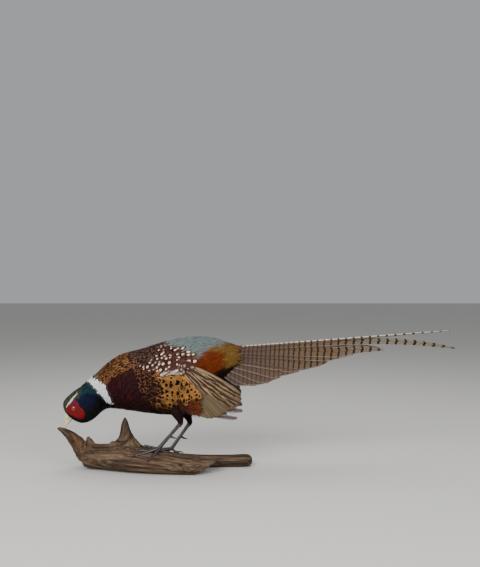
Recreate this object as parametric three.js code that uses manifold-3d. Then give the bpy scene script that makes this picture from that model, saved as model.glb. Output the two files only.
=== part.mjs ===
// A cock ring-necked pheasant, mounted life-size on a piece of driftwood and pecking at its raised tip.
// Millimetres, +Z up. The bird faces -X with its tail along +X, and its left side faces -Y. The origin is on
// the driftwood's flat underside, below the feet.
import * as THREE from "three";
import { mergeVertices } from "three/addons/utils/BufferGeometryUtils.js";
import Module from "manifold-3d";

const wasm = await Module();
wasm.setup();

// ---------- Sizes ----------

const GAP = 0.35; // between pieces that touch
const AROUND = 20; // sides of the body's sections
const SLICE = 2; // sections between two stations of the body

// The body is a row of oval sections from bill to tail root. Each has its outline's highest and lowest
// point in the mid-plane, as [x, z], and half its width.
const stations = [
  { at: "bill base", top: [-202.5, 115], low: [-189, 102.5], wide: 7.5 },
  { at: "lores", top: [-207.5, 125], low: [-180, 97], wide: 11.5 },
  { at: "eyes", top: [-208, 137.5], low: [-169, 94], wide: 15.5 },
  { at: "crown", top: [-199, 149], low: [-155, 97], wide: 18.5 },
  { at: "nape", top: [-186, 160], low: [-142, 105.5], wide: 21 },
  { at: "neck", top: [-171, 170.5], low: [-131, 115.5], wide: 24 },
  { at: "collar", top: [-156, 184.5], low: [-120, 123], wide: 29 },
  { at: "neck base", top: [-139, 198], low: [-108, 124.5], wide: 37 },
  { at: "shoulders", top: [-118, 217.5], low: [-92, 123.5], wide: 48 },
  { at: "breast", top: [-91, 235], low: [-67, 120], wide: 59 },
  { at: "mid-back", top: [-51, 246], low: [-31, 115], wide: 65 },
  { at: "saddle", top: [-10, 259], low: [2, 112], wide: 66 },
  { at: "loins", top: [27, 269], low: [35, 113], wide: 63 },
  { at: "rump", top: [62, 273], low: [72, 127], wide: 55 },
  { at: "vent", top: [97, 270], low: [103, 157], wide: 43 },
  { at: "tail coverts", top: [125, 261.5], low: [129, 183], wide: 32 },
  { at: "tail root", top: [150, 252.5], low: [150, 203], wide: 23 },
];
const indexOf = (name) => stations.findIndex((s) => s.at === name);

// Where thin cuts part the body, as places along the row of stations.
const HEAD_END = indexOf("nape") - 0.2;
const NECK_END = indexOf("neck base") + 0.1;
const TRUNK_END = indexOf("rump") + 0.35;

const EYE = { x: -183.3, y: 13.8, z: 127.5, radius: 5.3 };
const WATTLE_HEIGHT = 2.6; // bare facial skin over the head's surface
const COVERT_HEIGHT = 6; // wing coverts and scapulars over the trunk

const SIDES = [
  { name: "left", y: -1 },
  { name: "right", y: 1 },
];

// ---------- Helpers ----------

const vec = (x, y, z) => new THREE.Vector3(x, y, z);

// Moves each vertex of a geometry to place(vertex), and keeps nothing but positions and merged faces.
function warp(geometry, place) {
  geometry.deleteAttribute("normal");
  geometry.deleteAttribute("uv");
  const merged = mergeVertices(geometry, 1e-4);
  const position = merged.getAttribute("position");
  const v = new THREE.Vector3();
  for (let i = 0; i < position.count; i += 1) {
    const moved = place(v.fromBufferAttribute(position, i).clone());
    position.setXYZ(i, moved.x, moved.y, moved.z);
  }
  return merged;
}

// A closed geometry as a solid, turned right side out.
function toSolid(geometry) {
  const bare = geometry.clone();
  bare.deleteAttribute("normal");
  bare.deleteAttribute("uv");
  const merged = mergeVertices(bare, 1e-4);
  const solid = new wasm.Manifold(
    new wasm.Mesh({
      numProp: 3,
      vertProperties: merged.getAttribute("position").array,
      triVerts: new Uint32Array(merged.index.array),
    }),
  );
  if (solid.volume() > 0) return solid;
  const index = merged.index.array;
  for (let i = 0; i < index.length; i += 3) [index[i + 1], index[i + 2]] = [index[i + 2], index[i + 1]];
  return toSolid(merged);
}

// The main body of a solid: a cut can leave a loose sliver beside it.
function toGeometry(solid) {
  const pieces = solid.decompose();
  const largest = pieces.reduce((a, b) => (a.volume() > b.volume() ? a : b));
  const mesh = largest.getMesh();
  const geometry = new THREE.BufferGeometry();
  geometry.setAttribute("position", new THREE.BufferAttribute(mesh.vertProperties, 3));
  geometry.setIndex(new THREE.BufferAttribute(mesh.triVerts, 1));
  return geometry;
}

const joined = (solids) => solids.reduce((a, b) => a.add(b));

// A closed tube from t = 0 to t = 1. at(t) gives its centre and the two half axes of its section.
function loft(at, around, along) {
  const tube = new THREE.CylinderGeometry(1, 1, 1, around, along);
  return warp(tube, (v) => {
    const { centre, up, side } = at(v.y + 0.5);
    return centre.clone().addScaledVector(up, v.z).addScaledVector(side, v.x);
  });
}

// A round or oval limb through points given as {p: [x, y, z], r: radius, flat: depth over height}, larger on
// every side and longer at both ends by grow.
function limb(points, around, along, grow = 0) {
  const line = new THREE.CatmullRomCurve3(points.map((q) => vec(...q.p)), false, "centripetal");
  const radii = points.map((q) => vec(q.r, q.r * (q.flat ?? 1), 0));
  const size = new THREE.CatmullRomCurve3(radii, false, "centripetal");
  return loft(
    (t) => {
      const tangent = line.getTangent(t);
      const up = vec(0, 1, 0).cross(tangent).normalize();
      const side = tangent.clone().cross(up);
      const { x: height, y: depth } = size.getPoint(t);
      const past = { 0: -grow, 1: grow }[t] ?? 0;
      const centre = line.getPoint(t).addScaledVector(tangent, past);
      return { centre, up: up.multiplyScalar(height + grow), side: side.multiplyScalar(depth + grow) };
    },
    around,
    along,
  );
}

// A flat outline in the side view, drawn through [x, z] points by a closed spline, with the given depth.
function sidePrism(points, depth, centreY) {
  const outline = new THREE.SplineCurve([...points, points[0]].map(([x, z]) => new THREE.Vector2(x, z)));
  const shape = new THREE.Shape(outline.getPoints(Math.round(points.length * 1.6)).slice(0, -1));
  const prism = new THREE.ExtrudeGeometry(shape, { depth, bevelEnabled: false });
  return toSolid(warp(prism, (v) => vec(v.x, centreY + depth / 2 - v.z, v.y)));
}

// ---------- Body ----------

// The outline's upper and lower edge, each point with the half width as its y.
const [topLine, lowLine] = ["top", "low"].map((edge) => {
  const points = stations.map((s) => vec(s[edge][0], s.wide, s[edge][1]));
  return new THREE.CatmullRomCurve3(points, false, "catmullrom", 0.5);
});

// The body's oval section at a place along the stations, larger all round by grow.
function section(place, grow = 0) {
  const t = place / (stations.length - 1);
  const high = topLine.getPoint(t);
  const low = lowLine.getPoint(t);
  const wide = high.y;
  high.y = 0;
  low.y = 0;
  const up = high.clone().sub(low).multiplyScalar(0.5);
  const centre = high.clone().add(low).multiplyScalar(0.5);
  up.setLength(up.length() + grow);
  return { centre, up, side: vec(0, -(wide + grow), 0) };
}

function wholeBody(grow) {
  const last = stations.length - 1;
  return toSolid(loft((t) => section(last * t, grow), AROUND, last * SLICE));
}

// What of a solid lies ahead of the body's section at a place, or behind it, with half a gap between.
function ahead(solid, place, facing = 1) {
  const { centre, up } = section(place);
  const normal = vec(-up.z, 0, up.x).normalize().multiplyScalar(facing);
  return solid.trimByPlane(normal.toArray(), normal.dot(centre) + GAP / 2);
}
const behind = (solid, place) => ahead(solid, place, -1);

// ---------- Driftwood ----------

// Its limbs taper along splines; what would reach below the floor is cut off flat.
const driftwoodLimbs = {
  log: [
    { p: [-178, 8, 22], r: 7, flat: 1.6 },
    { p: [-164, 8, 26.5], r: 22, flat: 1.35 },
    { p: [-135, 5, 25.5], r: 23.5, flat: 1.5 },
    { p: [-100, 0, 24.5], r: 25.5, flat: 1.6 },
    { p: [-60, -6, 22.5], r: 25.5, flat: 1.75 },
    { p: [-15, -14, 19], r: 21.5, flat: 2.1 },
    { p: [30, -20, 15], r: 18.5, flat: 2.2 },
    { p: [66, -28, 14], r: 16.5, flat: 1.95 },
    { p: [90, -36, 18], r: 12, flat: 1.7 },
    { p: [104, -42, 24], r: 6.5, flat: 1.7 },
    { p: [109, -44, 27], r: 2.5, flat: 2 },
  ],
  horn: [
    { p: [-150, 6, 24], r: 20, flat: 1.2 },
    { p: [-167, 5, 35], r: 18.5, flat: 1 },
    { p: [-180, 3, 51.5], r: 14.5, flat: 1 },
    { p: [-192, 1, 65.5], r: 11, flat: 1 },
    { p: [-203, 0, 75], r: 7.2, flat: 1.05 },
    { p: [-213, 0, 80.8], r: 4.6, flat: 1.1 },
    { p: [-220, 0, 83.6], r: 1.6, flat: 1.2 },
  ],
  thorn: [
    { p: [-150, -2, 36], r: 17, flat: 0.9 },
    { p: [-154.5, -2, 53], r: 9.5, flat: 0.9 },
    { p: [-157, -2, 67], r: 2.2, flat: 1 },
  ],
  spire: [
    { p: [-80, 2, 22], r: 58, flat: 0.3 },
    { p: [-80, 2, 38], r: 50, flat: 0.32 },
    { p: [-80, 3, 47], r: 35, flat: 0.4 },
    { p: [-80, 4, 57.5], r: 22.5, flat: 0.5 },
    { p: [-81.3, 4, 70.7], r: 13.7, flat: 0.65 },
    { p: [-82.5, 4, 84], r: 9.6, flat: 0.75 },
    { p: [-82.7, 4, 95], r: 6.2, flat: 0.8 },
    { p: [-82.5, 4, 104.5], r: 2.4, flat: 0.9 },
  ],
  ledge: [
    { p: [-116, 4, 30], r: 22, flat: 0.8 },
    { p: [-107, 4, 46], r: 11, flat: 0.8 },
    { p: [-106, 4, 55], r: 4.5, flat: 0.9 },
  ],
  branch: [
    { p: [-45, 5, 16], r: 15, flat: 1.6 },
    { p: [0, 12, 14], r: 18, flat: 1.4 },
    { p: [60, 17, 12], r: 14, flat: 1.2 },
    { p: [130, 19, 12], r: 12.8, flat: 1.1 },
    { p: [165, 20, 12.4], r: 13, flat: 1.05 },
    { p: [175, 20, 12.8], r: 10, flat: 1.05 },
    { p: [179, 20, 13], r: 4.5, flat: 1.1 },
  ],
};

// The height of the wood's upper side at a place seen from above.
function woodTop(x, y) {
  const heights = [driftwoodLimbs.log, driftwoodLimbs.branch].map((points) => {
    const next = points.findIndex((q) => q.p[0] > x);
    if (next < 1) return 0;
    const [a, b] = [points[next - 1], points[next]];
    const t = (x - a.p[0]) / (b.p[0] - a.p[0]);
    const [, centreY, centreZ] = a.p.map((v, i) => THREE.MathUtils.lerp(v, b.p[i], t));
    const r = THREE.MathUtils.lerp(a.r, b.r, t);
    const aside = (y - centreY) / (r * THREE.MathUtils.lerp(a.flat, b.flat, t));
    return Math.abs(aside) < 1 ? centreZ + r * Math.sqrt(1 - aside ** 2) : 0;
  });
  return Math.max(...heights);
}

function driftwood(cutters) {
  const limbs = Object.values(driftwoodLimbs).map((points) =>
    toSolid(limb(points, 10, Math.round((points.length - 1) * 1.3))),
  );
  const below = toSolid(warp(new THREE.BoxGeometry(1000, 1000, 100), (v) => vec(v.x, v.y, v.z - 50)));
  return cutters.reduce((wood, cutter) => wood.subtract(cutter), joined(limbs).subtract(below));
}

// ---------- Head ----------

// The upper bill curves down over the lower one. Both start at the face and are cut to its shape.
const billUpper = [
  { p: [-197, 0, 112], r: 6.8, flat: 0.95 },
  { p: [-200.2, 0, 105.5], r: 7.2, flat: 0.86 },
  { p: [-202.6, 0, 97], r: 5.4, flat: 0.86 },
  { p: [-203.8, 0, 90.5], r: 2.9, flat: 0.9 },
  { p: [-203.4, 0, 84.8], r: 0.7, flat: 1 },
];
const billLower = [
  { p: [-190, 0, 106], r: 4.6, flat: 1.05 },
  { p: [-192.4, 0, 100.5], r: 3.8, flat: 1.2 },
  { p: [-196, 0, 94.5], r: 2.4, flat: 1.4 },
  { p: [-199, 0, 90], r: 0.8, flat: 1.6 },
];

// The bare red skin round the eye, in the side view.
const wattleOutline = [
  [-200, 127],
  [-192.5, 136],
  [-183, 143.5],
  [-175, 142],
  [-170, 131],
  [-162, 124],
  [-160, 112],
  [-166, 103.5],
  [-178, 105.5],
  [-190, 113],
  [-199, 119.5],
];

function eyeBall(side, grow = 0) {
  const ball = new THREE.SphereGeometry(EYE.radius + grow, 12, 8);
  return toSolid(warp(ball, (v) => v.add(vec(EYE.x, side.y * EYE.y, EYE.z))));
}

// A layer on the body, from GAP to height over it, inside an outline on one side.
function sideLayer(outline, height, side) {
  const depth = 120;
  return wholeBody(height)
    .intersect(sidePrism(outline, depth, side.y * (depth / 2 + 1)))
    .subtract(wholeBody(GAP));
}

// ---------- Wings ----------

// The scapulars and coverts that lie on the trunk, in the side view.
const covertOutline = [
  [-55, 195],
  [-42, 227],
  [-3, 246],
  [33, 250],
  [56, 234],
  [70, 219],
  [56, 203],
  [33, 191],
  [-3, 187],
  [-32, 187],
];

// The flight feathers spread from a point under the coverts, like a fan hung beside the body. Each fan has
// the angles below the horizontal of its first and last feather in degrees, how far out its feathers start,
// how far they reach in turn, and how deep it hangs behind the outer fan.
const FAN_PIVOT = { x: 25, z: 230 };
const fans = {
  secondaries: {
    from: 26,
    to: 70,
    start: 40,
    reach: [140, 152, 159, 164, 166, 159, 151, 148, 143, 136, 126, 110],
    layer: 0,
  },
  primaries: {
    from: 26,
    to: 54,
    start: 56,
    reach: [156, 164, 165, 160, 171, 150, 140],
    layer: 2.6,
  },
};
const FAN_THICK = { root: 2, tip: 0.7 };
const SCALLOP = 4; // how far a feather's tip stands out from the notches beside it

// How far from the mid-plane the fan hangs at a place in the side view: it closes in behind the trunk.
const fanDepth = (x, z) => 70.5 - 0.17 * (x - FAN_PIVOT.x) - 0.0011 * (z - 185) ** 2;

function wingFan(fan, side) {
  const feathers = fan.reach.length;
  const columns = (feathers - 1) * 2;
  const reach = new THREE.SplineCurve(fan.reach.map((r, i) => new THREE.Vector2(i, r)));
  const plate = new THREE.BoxGeometry(1, 1, 1, columns, 2, 1);
  return warp(plate, (v) => {
    const across = v.x + 0.5;
    const along = v.y + 0.5;
    const angle = THREE.MathUtils.degToRad(THREE.MathUtils.lerp(fan.from, fan.to, across));
    const notch = Math.round(across * columns) % 2 ? SCALLOP : 0;
    const distance = THREE.MathUtils.lerp(fan.start, reach.getPoint(across).y - notch, along);
    const x = FAN_PIVOT.x + distance * Math.cos(angle);
    const z = FAN_PIVOT.z - distance * Math.sin(angle);
    const thick = THREE.MathUtils.lerp(FAN_THICK.root, FAN_THICK.tip, along);
    return vec(x, side.y * (fanDepth(x, z) - fan.layer + v.z * thick), z);
  });
}

// ---------- Tail ----------

// The tail is a steep roof. A point on one slope is given by its x, how far down the slope it lies from the
// ridge, and how deep it lies under the top feather. Past the ridge, on the other side, the top lies flat.
const ROOF = { round: 16, lean: THREE.MathUtils.degToRad(64) };
const ridgeZ = (x) => 250.5 + 0.0777 * (x - 150);

function onRoof(x, down, under, side) {
  const bent = ROOF.round * ROOF.lean;
  const turn = Math.min(Math.max(down, 0), bent) / ROOF.round;
  const straight = Math.max(down - bent, 0);
  const out = ROOF.round * Math.sin(turn) + straight * Math.cos(ROOF.lean) + Math.min(down, 0);
  const drop = ROOF.round * (1 - Math.cos(turn)) + straight * Math.sin(ROOF.lean);
  return vec(x, side.y * (out - under * Math.sin(turn)), ridgeZ(x) - drop - under * Math.cos(turn));
}

// The feathers of one side, from the long middle one to the short outermost: where its tip is, how far down
// the slope the shaft starts and ends, how late it turns down, the vane's half width and how blunt it is.
const outerRectrices = [
  { tip: 447, near: 10, far: 38, late: 1.7, wide: 13, blunt: 3.5 },
  { tip: 383, near: 14, far: 41, late: 1.2, wide: 14, blunt: 4.5 },
  { tip: 333, near: 19, far: 52, late: 1.1, wide: 14.5, blunt: 5 },
  { tip: 297, near: 24, far: 61, late: 1, wide: 14.5, blunt: 5.5 },
  { tip: 262, near: 29, far: 71, late: 0.95, wide: 14.5, blunt: 5.5 },
  { tip: 229, near: 34, far: 80, late: 0.95, wide: 13.5, blunt: 5.5 },
  { tip: 199, near: 39, far: 86, late: 0.95, wide: 12.5, blunt: 5.5 },
  { tip: 166, near: 43, far: 85, late: 0.9, wide: 11.5, blunt: 5.5 },
];
const middleRectrices = {
  left: { tip: 590, near: 8, far: 47, late: 3.7, wide: 10.5, blunt: 2.6 },
  right: { tip: 588, near: 1, far: -2, late: 1, wide: 10.5, blunt: 2.6 },
};
const TAIL = { root: 112, thick: 0.6, pitch: 1.4, inner: 0.4 };

// The right middle feather lies uppermost along the ridge, and the others follow under it in turn.
function tailFeather(order, side) {
  const shape = order === 0 ? middleRectrices[side.name] : outerRectrices[order - 1];
  const { tip, near, far, late, wide, blunt } = shape;
  const uppermost = order === 0 && side.name === "right";
  const under = uppermost ? 0 : TAIL.pitch * (order + 1);
  const length = tip - TAIL.root;
  const steps = order === 0 ? 12 : Math.max(4, Math.round(length / 55));
  const blade = new THREE.BoxGeometry(1, 1, 1, steps, 4, 1);
  return toSolid(
    warp(blade, (v) => {
      const t = Math.sin(((v.x + 0.5) * Math.PI) / 2); // closer steps toward the tip
      const taper = Math.min(1, 0.55 + t * 2.5) * Math.sqrt(Math.max(1 - t ** blunt, 0.0009));
      const slope = near + (far - near) * t ** late + v.y * 2 * wide * taper;
      const down = uppermost ? slope : Math.max(slope, TAIL.inner);
      return onRoof(TAIL.root + length * t, down, under + (v.z + 0.5) * TAIL.thick, side);
    }),
  );
}

// ---------- Legs ----------

// The left leg's joints. The right foot stands further back and lower on the wood, and the right hock follows
// it three quarters of the way.
const leg = {
  thighTop: [26, -33, 135],
  hock: [33.5, -28, 98],
  foot: [-8, -24, 50],
};
const RIGHT_STEP = vec(20, -6, -12);
const TURN_IN = { left: 0, right: THREE.MathUtils.degToRad(32) }; // how far each foot is turned inward

const joint = (p, side, share = 1) =>
  vec(p[0], p[1] * -side.y, p[2]).addScaledVector(RIGHT_STEP, side.name === "right" ? share : 0);
const hockOf = (side) => joint(leg.hock, side, 0.75);
const footOf = (side) => joint(leg.foot, side);
const asPoint = (v, r, flat = 1) => ({ p: [v.x, v.y, v.z], r, flat });

// Each toe runs from the foot over a knuckle to its tip, both given from the foot as [x, y] seen from above.
const toes = {
  middle: { knuckle: [-23, -9], tip: [-46, -20], r: 3.1 },
  outer: { knuckle: [-9, -15], tip: [-18, -29], r: 2.8 },
  inner: { knuckle: [-20, -1], tip: [-40, -6], r: 2.8 },
  hind: { knuckle: [7, 4], tip: [14, 7], r: 2.1 },
};
const CLAW = { length: 9, drop: 3.5 };

// A place on a toe: it lies on the wood, raised by most of its thickness.
function onWood([x, y], r, side) {
  const offset = vec(x, y * -side.y, 0).applyAxisAngle(vec(0, 0, 1), TURN_IN[side.name]);
  const at = footOf(side).add(offset);
  return at.setZ(woodTop(at.x, at.y) + r * 0.7);
}

function thigh(side, grow = 0) {
  const top = joint(leg.thighTop, side, 0.5);
  const hock = hockOf(side);
  const middle = top.clone().lerp(hock, 0.55).add(vec(-2, 0, 0));
  const points = [asPoint(top, 19, 0.8), asPoint(middle, 12.5, 0.8), asPoint(hock, 5.4, 0.9)];
  return toSolid(limb(points, 10, 4, grow));
}

function shank(side, grow = 0) {
  const radii = [4.9, 3.9, 3.4, 3.8, 4.4];
  const points = [0, 0.12, 0.5, 0.88, 1].map((t, i) =>
    asPoint(hockOf(side).lerp(footOf(side), t), radii[i], 0.85),
  );
  return toSolid(limb(points, 8, 4, grow));
}

function spur(side) {
  const root = hockOf(side).lerp(footOf(side), 0.52);
  const end = root.clone().add(vec(16, side.y * -2.5, -5));
  const middle = root.clone().lerp(end, 0.55).add(vec(0, 0, -1.2));
  return toSolid(limb([asPoint(root, 2.6), asPoint(middle, 1.7), asPoint(end, 0.5)], 6, 3));
}

function toe(name, side, grow = 0) {
  const { knuckle, tip, r } = toes[name];
  const points = [
    asPoint(footOf(side).add(vec(0, 0, -1)), r * 1.15, 1.1),
    asPoint(onWood(knuckle, r, side), r * 1.05, 1.05),
    asPoint(onWood(tip, r, side), r * 0.8, 1),
  ];
  return toSolid(limb(points, 7, 3, grow));
}

const foot = (side, grow = 0) => joined(Object.keys(toes).map((name) => toe(name, side, grow)));

function claw(name, side, grow = 0) {
  const { knuckle, tip, r } = toes[name];
  const root = onWood(tip, r, side);
  const forward = root.clone().sub(onWood(knuckle, r, side)).normalize();
  const end = root.clone().addScaledVector(forward, CLAW.length).add(vec(0, 0, -CLAW.drop));
  const middle = root.clone().addScaledVector(forward, CLAW.length * 0.5).add(vec(0, 0, 0.6));
  const points = [asPoint(root, r * 0.66), asPoint(middle, r * 0.5), asPoint(end, 0.45)];
  return toSolid(limb(points, 6, 2, grow));
}

// ---------- Assembly ----------

const colours = {
  head: 0x1f3a35,
  neck: 0x1b3f58,
  trunk: 0x7a3a1e,
  rump: 0x8f9a8c,
  bill: 0xd8d2b8,
  eye: 0xc9752a,
  wattle: 0xb3202a,
  wing: 0xa38a68,
  flight: 0x9b8264,
  tail: 0xa68a63,
  thigh: 0x2c2420,
  shank: 0x8c8078,
  foot: 0x6e645d,
  claw: 0x3a322c,
  wood: 0x8d765b,
};
const bird = new THREE.Group();

function add(name, solid, colour, roughness = 0.8) {
  const material = new THREE.MeshStandardMaterial({ color: colour, roughness, metalness: 0 });
  const mesh = new THREE.Mesh(toGeometry(solid), material);
  mesh.name = name;
  bird.add(mesh);
}

const flesh = wholeBody(0);
const grown = wholeBody(GAP);
const eyeSockets = joined(SIDES.map((side) => eyeBall(side, GAP)));

add("head", ahead(flesh, HEAD_END).subtract(eyeSockets), colours.head, 0.6);
add("neck", ahead(behind(flesh, HEAD_END), NECK_END), colours.neck, 0.5);
add("trunk", ahead(behind(flesh, NECK_END), TRUNK_END), colours.trunk);
add("rump", behind(flesh, TRUNK_END), colours.rump);

const upperBill = toSolid(limb(billUpper, 10, 6));
const upperGrown = toSolid(limb(billUpper, 10, 6, GAP));
const lowerBill = toSolid(limb(billLower, 8, 4)).subtract(upperGrown);
add("bill_upper", upperBill.subtract(grown), colours.bill, 0.45);
add("bill_lower", lowerBill.subtract(grown), colours.bill, 0.45);

const cutters = [];
for (const side of SIDES) {
  add(`eye_${side.name}`, eyeBall(side), colours.eye, 0.1);
  const wattle = sideLayer(wattleOutline, WATTLE_HEIGHT, side).subtract(eyeSockets);
  add(`wattle_${side.name}`, wattle, colours.wattle, 0.6);

  add(`wing_${side.name}_coverts`, sideLayer(covertOutline, COVERT_HEIGHT, side), colours.wing);
  const clearOf = grown.add(sideLayer(covertOutline, COVERT_HEIGHT + GAP, side));
  for (const [fanName, fan] of Object.entries(fans)) {
    add(`wing_${side.name}_${fanName}`, toSolid(wingFan(fan, side)).subtract(clearOf), colours.flight);
  }

  add(`thigh_${side.name}`, thigh(side).subtract(grown), colours.thigh);
  add(`shank_${side.name}`, shank(side).subtract(thigh(side, GAP)), colours.shank, 0.5);
  add(`spur_${side.name}`, spur(side).subtract(shank(side, GAP)), colours.claw, 0.4);
  add(`foot_${side.name}`, foot(side).subtract(shank(side, GAP)), colours.foot, 0.6);
  for (const name of Object.keys(toes)) {
    add(`claw_${side.name}_${name}`, claw(name, side).subtract(toe(name, side, GAP)), colours.claw, 0.4);
    cutters.push(claw(name, side, GAP));
  }
  cutters.push(shank(side, GAP), foot(side, GAP));
  for (let order = 0; order <= outerRectrices.length; order += 1) {
    add(`tail_${side.name}_${order + 1}`, tailFeather(order, side).subtract(grown), colours.tail);
  }
}
add("driftwood", driftwood(cutters), colours.wood, 0.9);

export default bird;
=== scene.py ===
# A cock ring-necked pheasant, mounted life-size on a piece of driftwood and pecking at its raised tip.
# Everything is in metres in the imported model's frame: the bird faces -X, its left side is toward -Y and the
# wood's flat underside is on the floor at z = 0. Sizes are written in millimetres and turned to metres.
import math

import bmesh
import bpy
import numpy as np
from mathutils import Matrix, Vector, noise


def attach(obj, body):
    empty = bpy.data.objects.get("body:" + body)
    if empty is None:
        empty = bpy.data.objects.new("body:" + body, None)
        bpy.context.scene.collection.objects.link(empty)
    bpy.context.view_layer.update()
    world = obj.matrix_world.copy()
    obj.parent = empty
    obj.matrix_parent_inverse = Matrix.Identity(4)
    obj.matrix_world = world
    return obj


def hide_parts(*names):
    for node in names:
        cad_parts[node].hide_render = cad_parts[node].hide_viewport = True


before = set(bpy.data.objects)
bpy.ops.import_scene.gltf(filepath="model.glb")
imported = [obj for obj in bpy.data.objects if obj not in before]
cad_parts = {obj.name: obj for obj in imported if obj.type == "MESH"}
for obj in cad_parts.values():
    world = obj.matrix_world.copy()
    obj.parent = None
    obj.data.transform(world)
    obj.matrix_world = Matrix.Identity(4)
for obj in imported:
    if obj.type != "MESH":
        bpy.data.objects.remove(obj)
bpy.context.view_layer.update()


# ---------------------------------------------------------------- Studio
# A pale floor that runs out to a pale room, lit by two large soft boxes near the camera and one above. The
# camera stands level, a little under a metre and a half from the bird's left side.
def linear(code):
    """An sRGB hex colour as the linear red, green, blue and alpha of a shader socket."""
    parts = [int(code[i : i + 2], 16) / 255 for i in (0, 2, 4)]
    return tuple(p / 12.92 if p <= 0.04045 else ((p + 0.055) / 1.055) ** 2.4 for p in parts) + (1.0,)


def node(tree, kind, inputs=None, **settings):
    """Adds a node with its settings. Each input is a value, or the node or socket that feeds it."""
    made = tree.nodes.new(kind)
    for name, value in settings.items():
        setattr(made, name, value)
    for key, value in (inputs or {}).items():
        named = [s for s in made.inputs if s.name == key and s.enabled]
        socket = named[0] if named else made.inputs[key]
        if isinstance(value, bpy.types.Node):
            value = next(s for s in value.outputs if s.enabled)
        if isinstance(value, bpy.types.NodeSocket):
            tree.links.new(value, socket)
        else:
            socket.default_value = value
    return made


def new_material(name, **sockets):
    """A material with a principled shader whose sockets hold the given constants, and its node tree."""
    made = bpy.data.materials.new(name)
    made.use_nodes = True
    shader = made.node_tree.nodes["Principled BSDF"]
    for key, value in sockets.items():
        shader.inputs[key.replace("_", " ").title().replace("Ior", "IOR")].default_value = value
    return made, made.node_tree, shader


FLOOR_WIDTH = 24.0
bm = bmesh.new()
bmesh.ops.create_grid(bm, x_segments=1, y_segments=1, size=FLOOR_WIDTH / 2)
floor_mesh = bpy.data.meshes.new("studio_floor")
bm.to_mesh(floor_mesh)
bm.free()
floor = bpy.data.objects.new("studio_floor", floor_mesh)
bpy.context.scene.collection.objects.link(floor)
# Painted board, rolled matt: an even pale grey with no gloss.
paint, tree, shader = new_material("matt_painted_board", roughness=0.85)
shader.inputs["Base Color"].default_value = linear("c4c2bd")
floor_mesh.materials.append(paint)

world = bpy.data.worlds.new("studio_room")
world.use_nodes = True
world.node_tree.nodes["Background"].inputs["Color"].default_value = linear("d8dade")
world.node_tree.nodes["Background"].inputs["Strength"].default_value = 0.55
bpy.context.scene.world = world

SOFT_BOXES = {
    "soft_box_front": {"at": (-0.55, -1.9, 1.25), "wide": 1.1, "watts": 58},
    "soft_box_right": {"at": (1.3, -1.5, 1.1), "wide": 1.2, "watts": 22},
    "soft_box_above": {"at": (0.1, 0.35, 1.9), "wide": 1.3, "watts": 16},
}
AIM = Vector((0.12, 0.0, 0.2))
for name, box in SOFT_BOXES.items():
    lamp = bpy.data.lights.new(name, "AREA")
    lamp.shape = "SQUARE"
    lamp.size = box["wide"]
    lamp.energy = box["watts"]
    holder = bpy.data.objects.new(name, lamp)
    holder.location = box["at"]
    holder.rotation_euler = (AIM - holder.location).to_track_quat("-Z", "Y").to_euler()
    bpy.context.scene.collection.objects.link(holder)

camera = bpy.data.objects.new("studio_camera", bpy.data.cameras.new("studio_camera"))
camera.data.lens = 44.44
camera.data.sensor_width = 36
camera.location = (0.15375, -1.435, 0.380)
camera.rotation_euler = (math.radians(90), 0, 0)
bpy.context.scene.collection.objects.link(camera)
bpy.context.scene.camera = camera


# ---------------------------------------------------------------- Driftwood
# One weathered piece of wood: a log with a raised horn, a thorn, a ledge and a spire, and a second branch
# along its back. Water and sun have silvered it, opened its grain and rounded its edges. It stands unfixed.
MM = 0.001


def spline(points, at):
    """Points on a Catmull-Rom curve, at places counted in points from 0. It runs straight past its ends."""
    p = np.asarray(points, float)
    p = p.reshape(len(p), -1)
    p = np.vstack([2 * p[0] - p[1], p, 2 * p[-1] - p[-2]])
    at = np.asarray(at, float)
    i = np.clip(np.floor(at).astype(int), 0, len(p) - 4)
    f = (at - i)[..., None]
    a, b, c, d = p[i], p[i + 1], p[i + 2], p[i + 3]
    m, n = (c - a) / 2, (d - b) / 2
    return b + m * f + (3 * (c - b) - 2 * m - n) * f**2 + (2 * (b - c) + m + n) * f**3


def loft(bm, rings, sides):
    """Joins rings into a closed tube. Each ring is its centre and its two half axes, up and aside."""
    loops = []
    for centre, up, aside in rings:
        up, aside = Vector(up), Vector(aside)
        turn = Matrix((up, aside, up.cross(aside))).transposed().to_4x4()
        made = bmesh.ops.create_circle(
            bm, segments=sides, radius=1, matrix=Matrix.Translation(Vector(centre)) @ turn
        )
        loops.append(list({e for v in made["verts"] for e in v.link_edges}))
    for first, second in zip(loops, loops[1:]):
        bmesh.ops.bridge_loops(bm, edges=first + second)
    bmesh.ops.contextual_create(bm, geom=loops[0])
    bmesh.ops.contextual_create(bm, geom=loops[-1])


def limb_rings(points, count):
    """Rings along a tapering limb of rows x, y, z, radius and width over height, in millimetres."""
    points = np.asarray(points, float)
    steps = np.linspace(0, len(points) - 1, count)
    line = spline(points[:, :3], steps) * MM
    size = spline(np.c_[points[:, 3], points[:, 3] * points[:, 4]], steps) * MM
    ahead = np.gradient(line, axis=0)
    up = np.cross([0.0, 1.0, 0.0], ahead)
    up /= np.linalg.norm(up, axis=1, keepdims=True)
    aside = np.cross(ahead / np.linalg.norm(ahead, axis=1, keepdims=True), up)
    return [(c, u * s[0], v * s[1]) for c, u, v, s in zip(line, up, aside, size)]


def add_piece(mesh, material, nodes=()):
    """Puts a finished mesh in the scene as a piece of the same name on the body root, for given CAD nodes."""
    mesh.materials.append(material)
    mesh.polygons.foreach_set("use_smooth", np.ones(len(mesh.polygons), bool))
    piece = bpy.data.objects.new(mesh.name, mesh)
    bpy.context.scene.collection.objects.link(piece)
    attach(piece, "root")
    if nodes:
        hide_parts(*nodes)


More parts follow.
